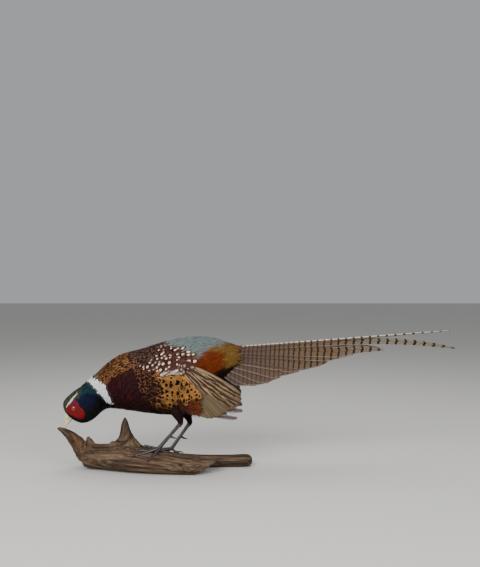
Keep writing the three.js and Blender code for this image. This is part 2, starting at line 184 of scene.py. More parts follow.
def mesh_of(bm, name):
    """Closes up a bmesh, turns its faces outward and makes it a mesh."""
    bmesh.ops.remove_doubles(bm, verts=bm.verts, dist=1e-6)
    bmesh.ops.recalc_face_normals(bm, faces=bm.faces)
    mesh = bpy.data.meshes.new(name)
    bm.to_mesh(mesh)
    bm.free()
    return mesh


def remeshed(mesh, name, voxel):
    """The mesh's pieces melted into one skin of small squares."""
    holder = bpy.data.objects.new("melting", mesh)
    bpy.context.scene.collection.objects.link(holder)
    melt = holder.modifiers.new("melt", "REMESH")
    melt.mode = "VOXEL"
    melt.voxel_size = voxel
    bpy.context.view_layer.update()
    made = bpy.data.meshes.new_from_object(holder.evaluated_get(bpy.context.evaluated_depsgraph_get()))
    made.name = name
    bpy.data.objects.remove(holder)
    return made


def read_points(mesh, field="co"):
    """The places, or the normals, of a mesh's corners."""
    found = np.empty(len(mesh.vertices) * 3, np.float32)
    mesh.vertices.foreach_get(field, found)
    return found.reshape(-1, 3).astype(float)


def write_points(mesh, points):
    """Moves a mesh's corners to new places."""
    mesh.vertices.foreach_set("co", points.astype(np.float32).ravel())
    mesh.update()


def store(mesh, name, values):
    """Keeps a number, a vector or a colour for each vertex under a name that a material reads."""
    values = np.asarray(values, np.float32)
    kind = {1: "FLOAT", 3: "FLOAT_VECTOR", 4: "FLOAT_COLOR"}[1 if values.ndim == 1 else values.shape[1]]
    field = {"FLOAT": "value", "FLOAT_VECTOR": "vector", "FLOAT_COLOR": "color"}[kind]
    mesh.attributes.new(name, kind, "POINT").data.foreach_set(field, values.ravel())


def noise_at(points, octaves):
    """Smooth noise from about -1 to 1 at each point."""
    return np.array([noise.fractal(Vector(p), 1.0, 2.0, octaves) for p in points])


# Rows are x, y, z, radius, and depth over height.
WOOD_LIMBS = {
    "log": [
        (-178, 8, 22, 7, 1.6),
        (-164, 8, 26.5, 22, 1.35),
        (-135, 5, 25.5, 23.5, 1.5),
        (-100, 0, 24.5, 25.5, 1.6),
        (-60, -6, 22.5, 25.5, 1.75),
        (-15, -14, 19, 21.5, 2.1),
        (30, -20, 15, 18.5, 2.2),
        (66, -28, 14, 16.5, 1.95),
        (90, -36, 18, 12, 1.7),
        (104, -42, 24, 6.5, 1.7),
        (109, -44, 27, 2.5, 2),
    ],
    "horn": [
        (-150, 6, 24, 20, 1.2),
        (-167, 5, 35, 18.5, 1),
        (-180, 3, 51.5, 14.5, 1),
        (-192, 1, 65.5, 11, 1),
        (-203, 0, 75, 7.2, 1.05),
        (-213, 0, 80.8, 4.6, 1.1),
        (-220, 0, 83.6, 1.6, 1.2),
    ],
    "thorn": [(-150, -2, 36, 17, 0.9), (-154.5, -2, 53, 9.5, 0.9), (-157, -2, 67, 2.2, 1)],
    "spire": [
        (-80, 2, 22, 58, 0.3),
        (-80, 2, 38, 50, 0.32),
        (-80, 3, 47, 35, 0.4),
        (-80, 4, 57.5, 22.5, 0.5),
        (-81.3, 4, 70.7, 13.7, 0.65),
        (-82.5, 4, 84, 9.6, 0.75),
        (-82.7, 4, 95, 6.2, 0.8),
        (-82.5, 4, 104.5, 2.4, 0.9),
    ],
    "ledge": [(-116, 4, 30, 22, 0.8), (-107, 4, 46, 11, 0.8), (-106, 4, 55, 4.5, 0.9)],
    "branch": [
        (-45, 5, 16, 15, 1.6),
        (0, 12, 14, 18, 1.4),
        (60, 17, 12, 14, 1.2),
        (130, 19, 12, 12.8, 1.1),
        (165, 20, 12.4, 13, 1.05),
        (175, 20, 12.8, 10, 1.05),
        (179, 20, 13, 4.5, 1.1),
    ],
}
# How firmly each limb holds the grain to its own line where limbs meet.
GRAIN_HOLD = {"log": 8, "horn": 1.5, "thorn": 0.3, "spire": 1, "ledge": 0.2, "branch": 6}
GRAIN_STEPS, GRAIN_REACH = 60, 28 * MM


def grain_of(points):
    """Where each point lies in the grain: along it, and across it in height and depth, blended from limbs."""
    total = np.zeros(len(points))
    place = np.zeros((len(points), 3))
    for name, rows in WOOD_LIMBS.items():
        rows = np.asarray(rows, float)
        steps = np.linspace(0, len(rows) - 1, GRAIN_STEPS)
        line = spline(rows[:, :3], steps) * MM
        radius = np.minimum(spline(rows[:, 3], steps)[:, 0] * MM, GRAIN_REACH)
        if name in ("log", "branch"):
            x = points[:, 0]
            past_end = x - np.clip(x, line[0, 0], line[-1, 0])
            centre = [np.interp(x, line[:, 0], line[:, i]) for i in (1, 2)]
            offset = np.c_[past_end, points[:, 1] - centre[0], points[:, 2] - centre[1]]
            girth = np.interp(x, line[:, 0], radius)
            lies = np.c_[x, offset[:, 2], offset[:, 1]]
        else:
            ahead = np.gradient(line, axis=0)
            step = np.linalg.norm(ahead, axis=1, keepdims=True)
            away = points[:, None] - line[None]
            near = np.argmin(np.linalg.norm(away, axis=2) / radius, axis=1)
            offset = away[np.arange(len(points)), near]
            facing = (ahead / step)[near]
            slid = (offset * facing).sum(1)
            length = (np.cumsum(step[:, 0]) - line[0, 0])[near] + slid
            lies = np.c_[length, (offset * np.cross([0.0, 1.0, 0.0], facing)).sum(1), offset[:, 1]]
            girth = radius[near]
        share = GRAIN_HOLD[name] * np.exp(-1.6 * (np.linalg.norm(offset, axis=1) / girth) ** 2) + 1e-9
        place += share[:, None] * lies
        total += share
    return place / total[:, None]


# The log is carved in three scales of noise, for each metre along, up and across its grain, and cut off
# slantwise under its right-hand end.
WOOD_VOXEL, LIMB_SIDES = 1.5 * MM, 28
LINES, BROAD, CRACKS = (4, 190, 150), (5, 45, 35), (3.2, 95, 60)
KNOT, KNOT_SQUASH, KNOT_RING = np.array([41.0, -56.0, 12.0]) * MM, [1, 0.5, 1.35], 3.2 * MM
FLAT_FOOT, CUT_FROM, CUT_TO, CUT_SLOPE = 6 * MM, 0.062, 0.115, 0.6
bm = bmesh.new()
for rows in WOOD_LIMBS.values():
    loft(bm, limb_rings(rows, 6 * len(rows)), LIMB_SIDES)
wood_mesh = remeshed(mesh_of(bm, "wood_limbs"), "driftwood_log", WOOD_VOXEL)
points = read_points(wood_mesh)
outward = read_points(wood_mesh, "normal")
grain = grain_of(points)
broad = noise_at(grain * BROAD + 7.0, 2)
crack = np.exp(-((noise_at(grain * CRACKS + 31.0, 2) / 0.05) ** 2)) * np.clip(broad * 2 + 0.45, 0, 1)
to_knot = np.linalg.norm((points - KNOT) * KNOT_SQUASH, axis=1)
rings = np.cos(to_knot * math.tau / KNOT_RING) * np.exp(-((to_knot / (8 * MM)) ** 2))
height = noise_at(grain * LINES, 3) + 1.2 * broad - 1.2 * crack
height += 0.6 * rings + 1.4 * np.exp(-((to_knot / (5 * MM)) ** 2))
points += outward * (height * MM * np.clip(points[:, 2] / FLAT_FOOT, 0, 1))[:, None]
cut_share = np.clip((-points[:, 1] / MM - 6) / 10, 0, 1) * (points[:, 0] < CUT_TO)
points[:, 2] = np.maximum(points[:, 2], CUT_SLOPE * np.maximum(points[:, 0] - CUT_FROM, 0) * cut_share)
write_points(wood_mesh, points)
x, y, z = (points / MM).T
# Painted shade: darker toward both ends of the wood, and near the floor and high up around the spire.
shade = np.interp(x, [-222, -190, -150, -110, 80, 110, 180], [0.48, 0.56, 0.84, 0.9, 0.9, 0.56, 0.5])
spire_shade = np.interp(z, [0, 10, 52, 72], [0.8, 1, 1, 0.5]) ** (np.abs(x + 80) < 60)
store(wood_mesh, "shade", shade * spire_shade)
store(wood_mesh, "warmth", np.exp(-(((x + 186) / 20) ** 2) - ((z - 56) / 16) ** 2))
store(wood_mesh, "opened", np.interp(x, [-130, -50], [0.4, 1]))
store(wood_mesh, "grain", grain)
store(wood_mesh, "crack", crack)
store(wood_mesh, "knot", np.exp(-((to_knot / (6 * MM)) ** 2)))

# Driftwood, bleached by sun and water: silver-tan on the raised grain, partly painted highlight, brown in the
# hollows and round the cracks, with no gloss. Painted shade darkens it toward both ends and near the floor
# and high up around the spire. The grain's lines are 2 to 3 mm apart.
drift, tree, shader = new_material("weathered_driftwood", roughness=0.88, specular_ior_level=0.25)
place = node(tree, "ShaderNodeAttribute", attribute_name="grain").outputs["Vector"]
crack, knot, opened, warmth, shade = (
    node(tree, "ShaderNodeAttribute", attribute_name=name).outputs["Fac"]
    for name in ("crack", "knot", "opened", "warmth", "shade")
)
long_way = node(tree, "ShaderNodeMapping", {"Vector": place, "Scale": (0.045, 1, 1)})
fine = node(
    tree, "ShaderNodeTexNoise", {"Vector": long_way, "Scale": 360.0, "Detail": 5.0, "Roughness": 0.66}
)
wide = node(
    tree, "ShaderNodeTexNoise", {"Vector": long_way, "Scale": 110.0, "Detail": 3.0, "Distortion": 0.3}
)
stain = node(tree, "ShaderNodeTexNoise", {"Vector": place, "Scale": 22.0, "Detail": 3.0})
tone = node(tree, "ShaderNodeMapRange", {"Value": wide, "From Min": 0.36, "From Max": 0.62})
warm = node(tree, "ShaderNodeMapRange", {"Value": stain, "From Min": 0.5, "From Max": 0.72, "To Max": 0.6})
# Pale grain on the raised lines, partly the wood's silvered fibres and partly painted highlight.
ridge_grain_and_highlight = node(tree, "ShaderNodeMapRange", {"Value": fine, "From Min": 0.55, "From Max": 0.68, "To Max": 0.75})
thread = node(
    tree, "ShaderNodeMapRange",
    {"Value": fine, "From Min": 0.34, "From Max": 0.47, "To Min": 0.9, "To Max": 0.0},
)
thread = node(tree, "ShaderNodeMath", {0: thread, 1: opened}, operation="MULTIPLY")
glow = node(tree, "ShaderNodeMath", {0: warmth, 1: 0.55}, operation="MULTIPLY")
open_grain = node(tree, "ShaderNodeMath", {0: crack, 1: 0.9}, operation="MULTIPLY", use_clamp=True)
heart = node(tree, "ShaderNodeMath", {0: knot, 1: 0.55}, operation="MULTIPLY", use_clamp=True)
wood = node(
    tree, "ShaderNodeMix", {"Factor": tone, "A": linear("33241a"), "B": linear("6c5641")}, data_type="RGBA"
)
for share, tint in ((warm, "523c29"), (ridge_grain_and_highlight, "8d7a64"), (thread, "20150d"), (glow, "6d4322")):
    wood = node(tree, "ShaderNodeMix", {"Factor": share, "A": wood, "B": linear(tint)}, data_type="RGBA")
# The painted shade is multiplied into the colour here.
wood = node(
    tree, "ShaderNodeMix", {"Factor": 1.0, "A": wood, "B": shade}, data_type="RGBA", blend_type="MULTIPLY"
)
for share, tint in ((open_grain, "150c07"), (heart, "452e1a")):
    wood = node(tree, "ShaderNodeMix", {"Factor": share, "A": wood, "B": linear(tint)}, data_type="RGBA")
tree.links.new(wood.outputs[2], shader.inputs["Base Color"])
bump = node(tree, "ShaderNodeBump", {"Strength": 0.7, "Distance": 0.0012, "Height": fine})
tree.links.new(bump.outputs["Normal"], shader.inputs["Normal"])
add_piece(wood_mesh, drift, ["driftwood"])


# ---------------------------------------------------------------- Skin
# One tanned skin drawn over the carved form from the bill's base to the tail's root, with no seam showing.
# It lies inside the outer shape by the depth of the plumage, and carries the plumage's own markings.
# Rows are the outline's highest and lowest point in the mid-plane as x, z, x, z, and half the width.
STATIONS = [
    (-202.5, 115, -189, 102.5, 7.5),  # bill base
    (-207.5, 125, -180, 97, 11.5),  # lores
    (-208, 137.5, -169, 94, 15.5),  # eyes
    (-199, 149, -155, 97, 18.5),  # crown
    (-186, 160, -142, 105.5, 21),  # nape
    (-171, 170.5, -131, 115.5, 24),  # neck
    (-156, 184.5, -120, 123, 29),  # collar
    (-139, 198, -108, 124.5, 37),  # neck base
    (-118, 217.5, -92, 123.5, 48),  # shoulders
    (-91, 235, -67, 120, 59),  # breast
    (-51, 246, -31, 115, 65),  # mid-back
    (-10, 259, 2, 112, 66),  # saddle
    (27, 269, 35, 113, 63),  # loins
    (62, 273, 72, 127, 55),  # rump
    (97, 270, 103, 157, 43),  # vent
    (125, 261.5, 129, 183, 32),  # tail coverts
    (150, 252.5, 150, 203, 23),  # tail root
]
LAST = len(STATIONS) - 1
COAT_DEPTH = ([0, 3, 4, 6, 8, 12, 14, 16], [0.8, 1.2, 2.0, 4.0, 6.0, 6.5, 6.0, 3.5])
PAST_TAIL = np.array([25, 0, 1.9]) * MM  # where plumage runs on past the last station, for each place


def body_form(place, angle):
    """A point on the body's outer form, by place along it and angle from the back round by the left."""
    place = np.asarray(place, float)
    s = spline(STATIONS, np.clip(place, -1, LAST)) * MM
    mid_x, mid_z = (s[..., 0] + s[..., 2]) / 2, (s[..., 1] + s[..., 3]) / 2
    up_x, up_z = (s[..., 0] - s[..., 2]) / 2, (s[..., 1] - s[..., 3]) / 2
    turn = np.cos(angle)
    at = np.stack([mid_x + up_x * turn, -s[..., 4] * np.sin(angle), mid_z + up_z * turn], -1)
    return at + np.maximum(place - LAST, 0)[..., None] * PAST_TAIL


def coat_depth(place):
    """How deep the skin lies under the outer form."""
    return np.interp(place, *COAT_DEPTH) * MM


def inside_of(outline, x, y):
    """Whether each point lies inside a closed outline."""
    found = np.zeros(np.shape(x), bool)
    for (x0, y0), (x1, y1) in zip(outline, outline[1:] + outline[:1]):
        crossed = (y0 > y) != (y1 > y)
        found ^= crossed & (x < x0 + (y - y0) * (x1 - x0) / (y1 - y0 if y1 != y0 else 1))
    return found


def wing_rise(points):
    """How far the folded wing under the scapulars lifts the plumage on each side."""
    centre, half, rise = (10 * MM, 217 * MM), (66 * MM, 33 * MM), 4.5 * MM
    off = ((points[..., 0] - centre[0]) / half[0]) ** 2 + ((points[..., 2] - centre[1]) / half[1]) ** 2
    t = np.clip((1.35 - off) / 0.75, 0, 1)
    return rise * t * t * (3 - 2 * t)


# The tracts of plumage, as outlines of place along the body and degrees round from the back. A later one
# covers an earlier one, and the belly has what is left.
TRACTS = {
    "belly": [(7.4, -1), (13.6, -1), (13.6, 181), (7.4, 181)],
    "throat": [(-1, -1), (7.4, -1), (7.6, 181), (-1, 181)],
    "neck": [(3.8, 60), (4.7, 58), (5.6, 67), (6.3, 88), (5.9, 103), (5.0, 109), (4.2, 104), (3.8, 84)],
    "nape": [(4.2, -1), (6.0, -1), (6.2, 45), (6.7, 75), (7.1, 98), (6.6, 101), (5.9, 80), (5.3, 64),
             (4.5, 58), (3.9, 56)],
    "crown": [(-1, -1), (5.0, -1), (5.0, 30), (4.7, 48), (4.1, 62), (3.5, 56), (1.6, 62), (-1, 80)],
    "brow": [(1.45, 66), (1.7, 60), (2.2, 54), (3.1, 46), (4.3, 38), (4.4, 39.5), (3.7, 47.5), (2.8, 57),
             (1.9, 68)],
    "collar": [
        (5.75, -1), (5.85, 10), (6.05, 35), (6.37, 62), (6.66, 85), (6.8, 102), (6.9, 118), (7.1, 130),
        (7.6, 131), (7.68, 122), (7.75, 98), (7.62, 80), (7.2, 58), (6.75, 32), (6.5, 15), (6.4, -1),
    ],
    "cape": [(6.4, -1), (6.5, 15), (6.75, 32), (6.95, 44), (7.2, 42), (7.3, 30), (7.3, -1)],
    "breast": [(7.4, 181), (7.5, 150), (7.68, 122), (7.75, 98), (7.7, 80), (8.0, 73), (8.6, 64), (9.15, 62),
               (9.95, 60), (10.05, 90), (10.2, 120), (10.4, 181)],
    "mantle": [(7.1, -1), (7.0, 46), (7.2, 58), (7.62, 80), (8.0, 73), (8.6, 64), (9.15, 62), (9.8, 60),
               (9.7, 40), (9.4, 20), (9.3, -1)],
    "fore_flank": [(9.7, 60), (10.2, 62), (10.6, 66), (11.05, 74), (11.0, 90), (10.95, 105), (10.9, 120),
                   (10.85, 136), (10.3, 138), (10.1, 120), (9.95, 100), (9.9, 80)],
    "flank": [(11.0, 73), (12.25, 80), (13.0, 88), (14.2, 96), (14.2, 120), (12.9, 129), (12.0, 131),
              (11.5, 134), (10.85, 130), (10.95, 105)],
    "low_flank": [(10.8, 132), (11.5, 134), (12.0, 131), (12.9, 128), (14.2, 118), (14.2, 150), (12.8, 158),
                  (10.8, 152)],
    "back": [(9.3, -1), (9.4, 20), (9.7, 40), (9.75, 60), (10.2, 62), (10.6, 52), (11.0, 42), (11.15, 25),
             (11.4, 16), (11.3, -1)],
    "rump": [(11.3, -1), (11.4, 15), (12.0, 34), (12.9, 60), (13.4, 62), (13.6, 56), (14.1, 44), (14.6, 34),
             (15.2, 22), (15.2, -1)],
    "tail_covert": [(15.2, -1), (15.2, 22), (14.6, 34), (14.1, 44), (14.0, 56), (14.7, 58), (15.1, 68),
                    (15.2, 85), (14.8, 103), (15.3, 112), (16.4, 116), (16.4, -1)],
    "flame": [(12.9, 63), (13.5, 60), (14.0, 54), (14.7, 57), (15.1, 67), (15.2, 85), (14.8, 103),
              (14.2, 106), (13.5, 104), (12.9, 90)],
    "vent": [(13.5, 104), (14.2, 106), (14.8, 103), (15.3, 112), (16.4, 116), (16.4, 181), (13.4, 181),
             (13.4, 120)],
    "scapular": [(10.1, 58), (10.6, 50), (11.0, 40), (11.1, 22), (11.5, 18), (12.0, 34), (12.5, 46),
                 (13.0, 58), (12.75, 70), (12.1, 76), (11.6, 76), (11.1, 72), (10.55, 66)],
    "fluff": [(11.1, 74), (11.6, 76.5), (12.2, 76.5), (12.4, 79), (12.0, 80.5), (11.6, 79), (11.3, 78)],
}
GROUND = {
    "belly": "120c0a",
    "throat": "07090c",
    "neck": "0a1440",
    "nape": "17434c",
    "crown": "23281e",
    "brow": "d5d8cb",
    "collar": "f4f3f6",
    "cape": "57514a",
    "breast": "320b0a",
    "mantle": "75492b",
    "fore_flank": "30100b",
    "flank": "8c5e2b",
    "low_flank": "321514",
    "back": "2c1812",
    "rump": "646f6e",
    "tail_covert": "7d5c2b",
    "flame": "78340f",
    "vent": "1e0b06",
    "scapular": "40201a",
    "fluff": "e4d5c6",
}
TRACT_NAMES = list(TRACTS)
GROUND_TABLE = np.array([linear(GROUND[name]) for name in TRACT_NAMES])


def tract_at(place, degrees):
    """The number of the tract at each place and angle."""
    found = np.zeros(np.shape(place), int)
    for number, outline in enumerate(TRACTS.values()):
        found[inside_of(outline, place, degrees)] = number
    return found


def ground_at(place, angle, spread):
    """The plumage's ground colour, run together over a spread of places so that the tracts melt together."""
    place, degrees = np.asarray(place, float), np.degrees(np.abs(angle))
    total = np.zeros(place.shape + (4,))
    degrees_to_place = 28
    ring = [(r * math.cos(a), r * math.sin(a)) for r in (0.5, 1.0) for a in np.arange(6) * math.tau / 6]
    for step_place, step_angle in [(0.0, 0.0)] + ring:
        turned = np.abs(degrees + step_angle * spread * degrees_to_place)
        total += GROUND_TABLE[tract_at(place + step_place * spread, np.minimum(turned, 360 - turned))]
    return total / (len(ring) + 1)


def in_rings(points, rings, sides):
    """For each corner of a loft: its ring's number, and where it lies on that ring's axes, from -1 to 1."""
    number = np.minimum(np.arange(len(points)) // sides, len(rings) - 1)
    centre, up, aside = (np.array([r[i] for r in rings])[number] for i in range(3))
    off = points - centre
    return number, (off * up).sum(1) / (up**2).sum(1), (off * aside).sum(1) / (aside**2).sum(1)


SKIN_RINGS, SKIN_SIDES = 97, 72
rings = []
for place in np.linspace(0, LAST, SKIN_RINGS):
    top, low = body_form(place, 0.0), body_form(place, math.pi)
    centre, up = (top + low) / 2, (top - low) / 2
    aside = body_form(place, math.pi / 2) - centre
    rings.append([centre] + [axis * (1 - coat_depth(place) / np.linalg.norm(axis)) for axis in (up, aside)])
bm = bmesh.new()
loft(bm, rings, SKIN_SIDES)
skin_mesh = mesh_of(bm, "skin")
points = read_points(skin_mesh)
number, up, aside = in_rings(points, rings, SKIN_SIDES)
skin_angle = np.arctan2(aside, up)
points[:, 1] += np.sign(points[:, 1]) * wing_rise(points) * np.abs(np.sin(skin_angle))
write_points(skin_mesh, points)
store(skin_mesh, "ground", ground_at(number * LAST / (SKIN_RINGS - 1), skin_angle, 0.12))

# Tanned hide under down: dull, a little darker than the feathers over it, mottled where down shows through.
hide, tree, shader = new_material("tanned_hide_with_down", roughness=0.9, specular_ior_level=0.15)
place = node(tree, "ShaderNodeTexCoord").outputs["Object"]
ground = node(tree, "ShaderNodeAttribute", attribute_name="ground")
down = node(tree, "ShaderNodeTexNoise", {"Vector": place, "Scale": 350.0, "Detail": 4.0})
shade = node(
    tree, "ShaderNodeMapRange",
    {"Value": down, "From Min": 0.3, "From Max": 0.7, "To Min": 0.35, "To Max": 0.95},
)
shaded = node(
    tree, "ShaderNodeMix", {"Factor": 1.0, "A": ground, "B": shade}, data_type="RGBA", blend_type="MULTIPLY"
)
tree.links.new(shaded.outputs[2], shader.inputs["Base Color"])
bump = node(tree, "ShaderNodeBump", {"Strength": 0.6, "Distance": 0.0006, "Height": down})
tree.links.new(bump.outputs["Normal"], shader.inputs["Normal"])
add_piece(skin_mesh, hide, ["head", "neck", "trunk", "rump"])


# ---------------------------------------------------------------- Breast and belly
# Broad rounded vanes laid like shingles from the collar back. Each is rooted in the skin, rises to the outer
# form and curls down again at its edges, so that only its dark-fringed tip shows.
def flat_grid(columns, rows):
    """A thin closed leaf of squares: x across from -1 to 1, y along from 0 to 1, and z 0 on top, -1 below."""
    bm = bmesh.new()
    bmesh.ops.create_grid(bm, x_segments=columns, y_segments=rows, size=1)
    bmesh.ops.translate(bm, vec=(0, 1, 0), verts=bm.verts)
    bmesh.ops.scale(bm, vec=(1, 0.5, 1), verts=bm.verts)
    bmesh.ops.solidify(bm, geom=bm.faces[:], thickness=1)
    spots = np.array([v.co for v in bm.verts])
    spots[:, 2] = np.where(spots[:, 2] > spots[:, 2].mean(), 0, -1)
    bmesh.ops.recalc_face_normals(bm, faces=bm.faces)
    bm.verts.index_update()
    quads = np.array([[v.index for v in f.verts] for f in bm.faces])
    bm.free()
    return spots, quads


def vane_shape(columns, rows):
    """A contour feather's vane: where each corner lies along and across, and its own map."""
    spots, quads = flat_grid(columns, rows)
    c, r = spots[:, 0], spots[:, 1]
    root_width, tip_width, widest, blunt = 0.42, 0.72, 0.62, 0.3
    width = root_width + (1 - root_width) * np.sin(np.clip(r / widest, 0, 1) * math.pi / 2)
    width *= np.where(r > widest, 1 - (1 - tip_width) * ((r - widest) / (1 - widest)) ** 2, 1)
    return {"along": r - blunt * c**2 * r**4, "across": c * width, "c": c, "r": r, "side": spots[:, 2],
            "quads": quads}


def plume_shape(barbs, rows):
    """A loose plume: narrow pointed barbs that spread from one root, with gaps between their tips."""
    spots, quads = flat_grid(1, rows)
    parts = []
    for k in np.linspace(-1, 1, barbs):
        c, r = spots[:, 0], spots[:, 1]
        own = c * (0.34 * (1 - 0.86 * r**1.5)) * (1.7 / barbs**0.5)
        reach = 1 - 0.2 * abs(k) ** 1.5 - 0.08 * math.sin(9 * k + 1)
        across = k * (0.12 + 0.78 * r**1.15) + own * 0.8
        parts.append((r * reach, across, k * 0.85 + c * 0.12, r, spots[:, 2]))
    along, across, c, r, side = (np.concatenate([p[i] for p in parts]) for i in range(5))
    quads = np.concatenate([quads + i * len(spots) for i in range(barbs)])
    return {"along": along, "across": across, "c": c, "r": r, "side": side, "quads": quads}


def ways(form, place, angle):
    """How a form's point moves for each place and each radian, and its outward normal."""
    e = 1e-3
    along = (form(place + e, angle) - form(place - e, angle)) / (2 * e)
    round_ = (form(place, angle + e) - form(place, angle - e)) / (2 * e)
    out = np.cross(round_, along)
    return along, round_, out / np.maximum(np.linalg.norm(out, axis=-1, keepdims=True), 1e-12)


# The bare red skin round the eye, as x, z points of its outline seen from the side.
BARE_FACE = [
    (-200, 127), (-192.5, 136), (-183, 143.5), (-175, 142), (-170, 131), (-162, 124), (-160, 112),
    (-166, 103.5), (-178, 105.5), (-190, 113), (-199, 119.5),
]
ROOT_JITTER = 0.16


def roots_in(name, along, across, seed, reach):
    """Where the feathers of a tract are rooted: rows across the body, each set between those of the last.
    Along and across are the spacing in millimetres at the tract's front and back. A feather counts by the
    place its tip covers, which lies its reach behind its root. Gives place, angle and the place covered."""
    random = np.random.default_rng(seed)
    outline = np.array(TRACTS[name])
    middle = math.radians(np.clip(outline[:, 1].mean(), 0, 180))
    turns = np.linspace(0, math.pi, 181)
    row, found = 0, []
    first, last = max(outline[:, 0].min(), 0.05), min(outline[:, 0].max(), 16.4)
    covered = first
    while covered < last:
        share = (covered - first) / (last - first)
        step_along = np.interp(share, [0, 1], along) * MM
        step_across = np.interp(share, [0, 1], across) * MM
        metric = np.linalg.norm(ways(body_form, np.array(covered), np.array(middle))[0])
        place = max(covered - reach * MM / metric, 0.02 + 0.04 * row)
        ring = body_form(np.full(len(turns), place), turns)
        arc = np.r_[0, np.cumsum(np.linalg.norm(np.diff(ring, axis=0), axis=1))]
        spaced = np.interp(np.arange(row % 2 * step_across / 2, arc[-1], step_across), arc, turns)
        for side in (1, -1):
            kept = spaced[spaced > 1e-6] if side < 0 else spaced
            found += [(place, side * a, step_along / metric, step_across, covered) for a in kept]
        covered += step_along / metric
        row += 1
    place, angle, step_along, step_across, seen = np.array(found).T
    off = step_along * random.normal(0, ROOT_JITTER, len(place))
    place, seen = place + off, seen + off
    girth = np.linalg.norm(ways(body_form, place, angle)[1], axis=1)
    angle = angle + step_across / girth * random.normal(0, ROOT_JITTER, len(place))
    kept = tract_at(seen, np.degrees(np.abs(angle))) == TRACT_NAMES.index(name)
    at = body_form(seen, angle) / MM
    kept &= (place > 0.02) & ~inside_of(BARE_FACE, at[:, 0], at[:, 2])
    return place[kept], angle[kept], seen[kept]


def coat_form(place, angle):
    """The outer form with the folded wing's rise."""
    at = body_form(place, angle)
    at[..., 1] += np.sign(at[..., 1]) * wing_rise(at) * np.abs(np.sin(angle))
    return at


def joined_mesh(name, points, quads, maps):
    """One mesh of many small feathers, from their corners, their four-sided faces and their UV maps."""
    mesh = bpy.data.meshes.new(name)
    mesh.vertices.add(len(points))
    mesh.vertices.foreach_set("co", points.astype(np.float32).ravel())
    mesh.loops.add(quads.size)
    mesh.loops.foreach_set("vertex_index", quads.astype(np.int32).ravel())
    mesh.polygons.add(len(quads))
    mesh.polygons.foreach_set("loop_start", np.arange(0, quads.size, 4, dtype=np.int32))
    mesh.update(calc_edges=True)
    for layer, values in maps.items():
        values = values[quads.ravel()].astype(np.float32)
        mesh.uv_layers.new(name=layer).data.foreach_set("uv", values.ravel())
    return mesh


# A feather's camber as a share of its width, its thickness in millimetres, how far it strays from its line
# in degrees, and how wide its patch is on the baking map.
CAMBER, THICK, STRAY, PATCH = 0.06, 0.25, 5.0, 0.003


def feather_mesh(name, form, place, angle, shape, length, width, seed, turn=0.0, low=None, high=0.2,
                 full=(0.0, LAST), unwrap=None):
    """Lays one feather of a shape at each root. Length, width and heights are in millimetres. Turn swings it
    toward the belly in degrees, low and high are its root's and its tip's height over the form."""
    random = np.random.default_rng(seed)
    count, corners = len(place), len(shape["r"])
    length = np.broadcast_to(length, count) * random.uniform(0.9, 1.1, count) * MM
    width = np.broadcast_to(width, count) * random.uniform(0.92, 1.08, count) * MM / 2
    toward = np.radians(turn + random.normal(0, STRAY, count)) * np.where(angle < 0, -1, 1)
    along, round_, out = ways(form, place, angle)
    fore = along / np.linalg.norm(along, axis=1, keepdims=True)
    aside = np.cross(fore, out)
    aside *= np.sign((aside * round_).sum(1, keepdims=True))
    ahead = fore * np.cos(toward)[:, None] + aside * np.sin(toward)[:, None]
    across = aside * np.cos(toward)[:, None] - fore * np.sin(toward)[:, None]
    # Steps over the form are turned into places and angles.
    pp, pr, rr = (along**2).sum(1), (along * round_).sum(1), (round_**2).sum(1)
    solve = pp * rr - pr**2
    steps = []
    for way in (ahead, across):
        a, b = (way * along).sum(1), (way * round_).sum(1)
        steps.append(((a * rr - b * pr) / solve, (b * pp - a * pr) / solve))
    u = shape["along"][None] * length[:, None]
    v = shape["across"][None] * width[:, None]
    at_place = place[:, None] + u * steps[0][0][:, None] + v * steps[1][0][:, None]
    at_angle = angle[:, None] + u * steps[0][1][:, None] + v * steps[1][1][:, None]
    normal = ways(form, at_place, at_angle)[2]
    r, c = shape["r"][None], shape["c"][None]
    root = -0.85 * coat_depth(place) if low is None else np.full(count, low * MM)
    tip = high * MM + random.uniform(-0.25, 0.25, count) * MM
    lift = root[:, None] + (tip - root)[:, None] * r**0.75
    lift = lift - CAMBER * width[:, None] * 2 * c**2 * (0.5 + r)
    lift = lift + shape["side"][None] * THICK * MM * (1.05 - 0.8 * c**2) * (1.1 - 0.8 * r)
    points = form(at_place, at_angle) + normal * lift[..., None]
    own = np.c_[shape["c"] / 2 + 0.5, shape["r"]]
    # Each feather is a small patch at its root's place on the skin's own unwrap.
    rooted = unwrap or (place, angle)
    root_map = np.c_[(rooted[0] - full[0]) / (full[1] - full[0]), rooted[1] / math.tau + 0.5]
    patch = root_map[:, None] + (own[None] - 0.5) * PATCH
    quads = shape["quads"][None] + (np.arange(count) * corners)[:, None, None]
    mesh = joined_mesh(
        name, points.reshape(-1, 3), quads.reshape(-1, 4),
        {"Vane": np.tile(own, (count, 1)), "OFBake": patch.reshape(-1, 2)},
    )
    store(mesh, "one", np.repeat(random.uniform(0, 1, count), corners))
    return mesh


def vane_reads(tree):
    """What a feather's material reads: how far along and across its vane, the place, and its own number."""
    split = node(tree, "ShaderNodeSeparateXYZ", {0: node(tree, "ShaderNodeUVMap", uv_map="Vane")})
    across = node(tree, "ShaderNodeMath", {0: split.outputs["X"], 1: 2.0, 2: -1.0}, operation="MULTIPLY_ADD")
    place = node(tree, "ShaderNodeTexCoord").outputs["Object"]
    one = node(tree, "ShaderNodeAttribute", attribute_name="one").outputs["Fac"]
    return split.outputs["Y"], across, place, one


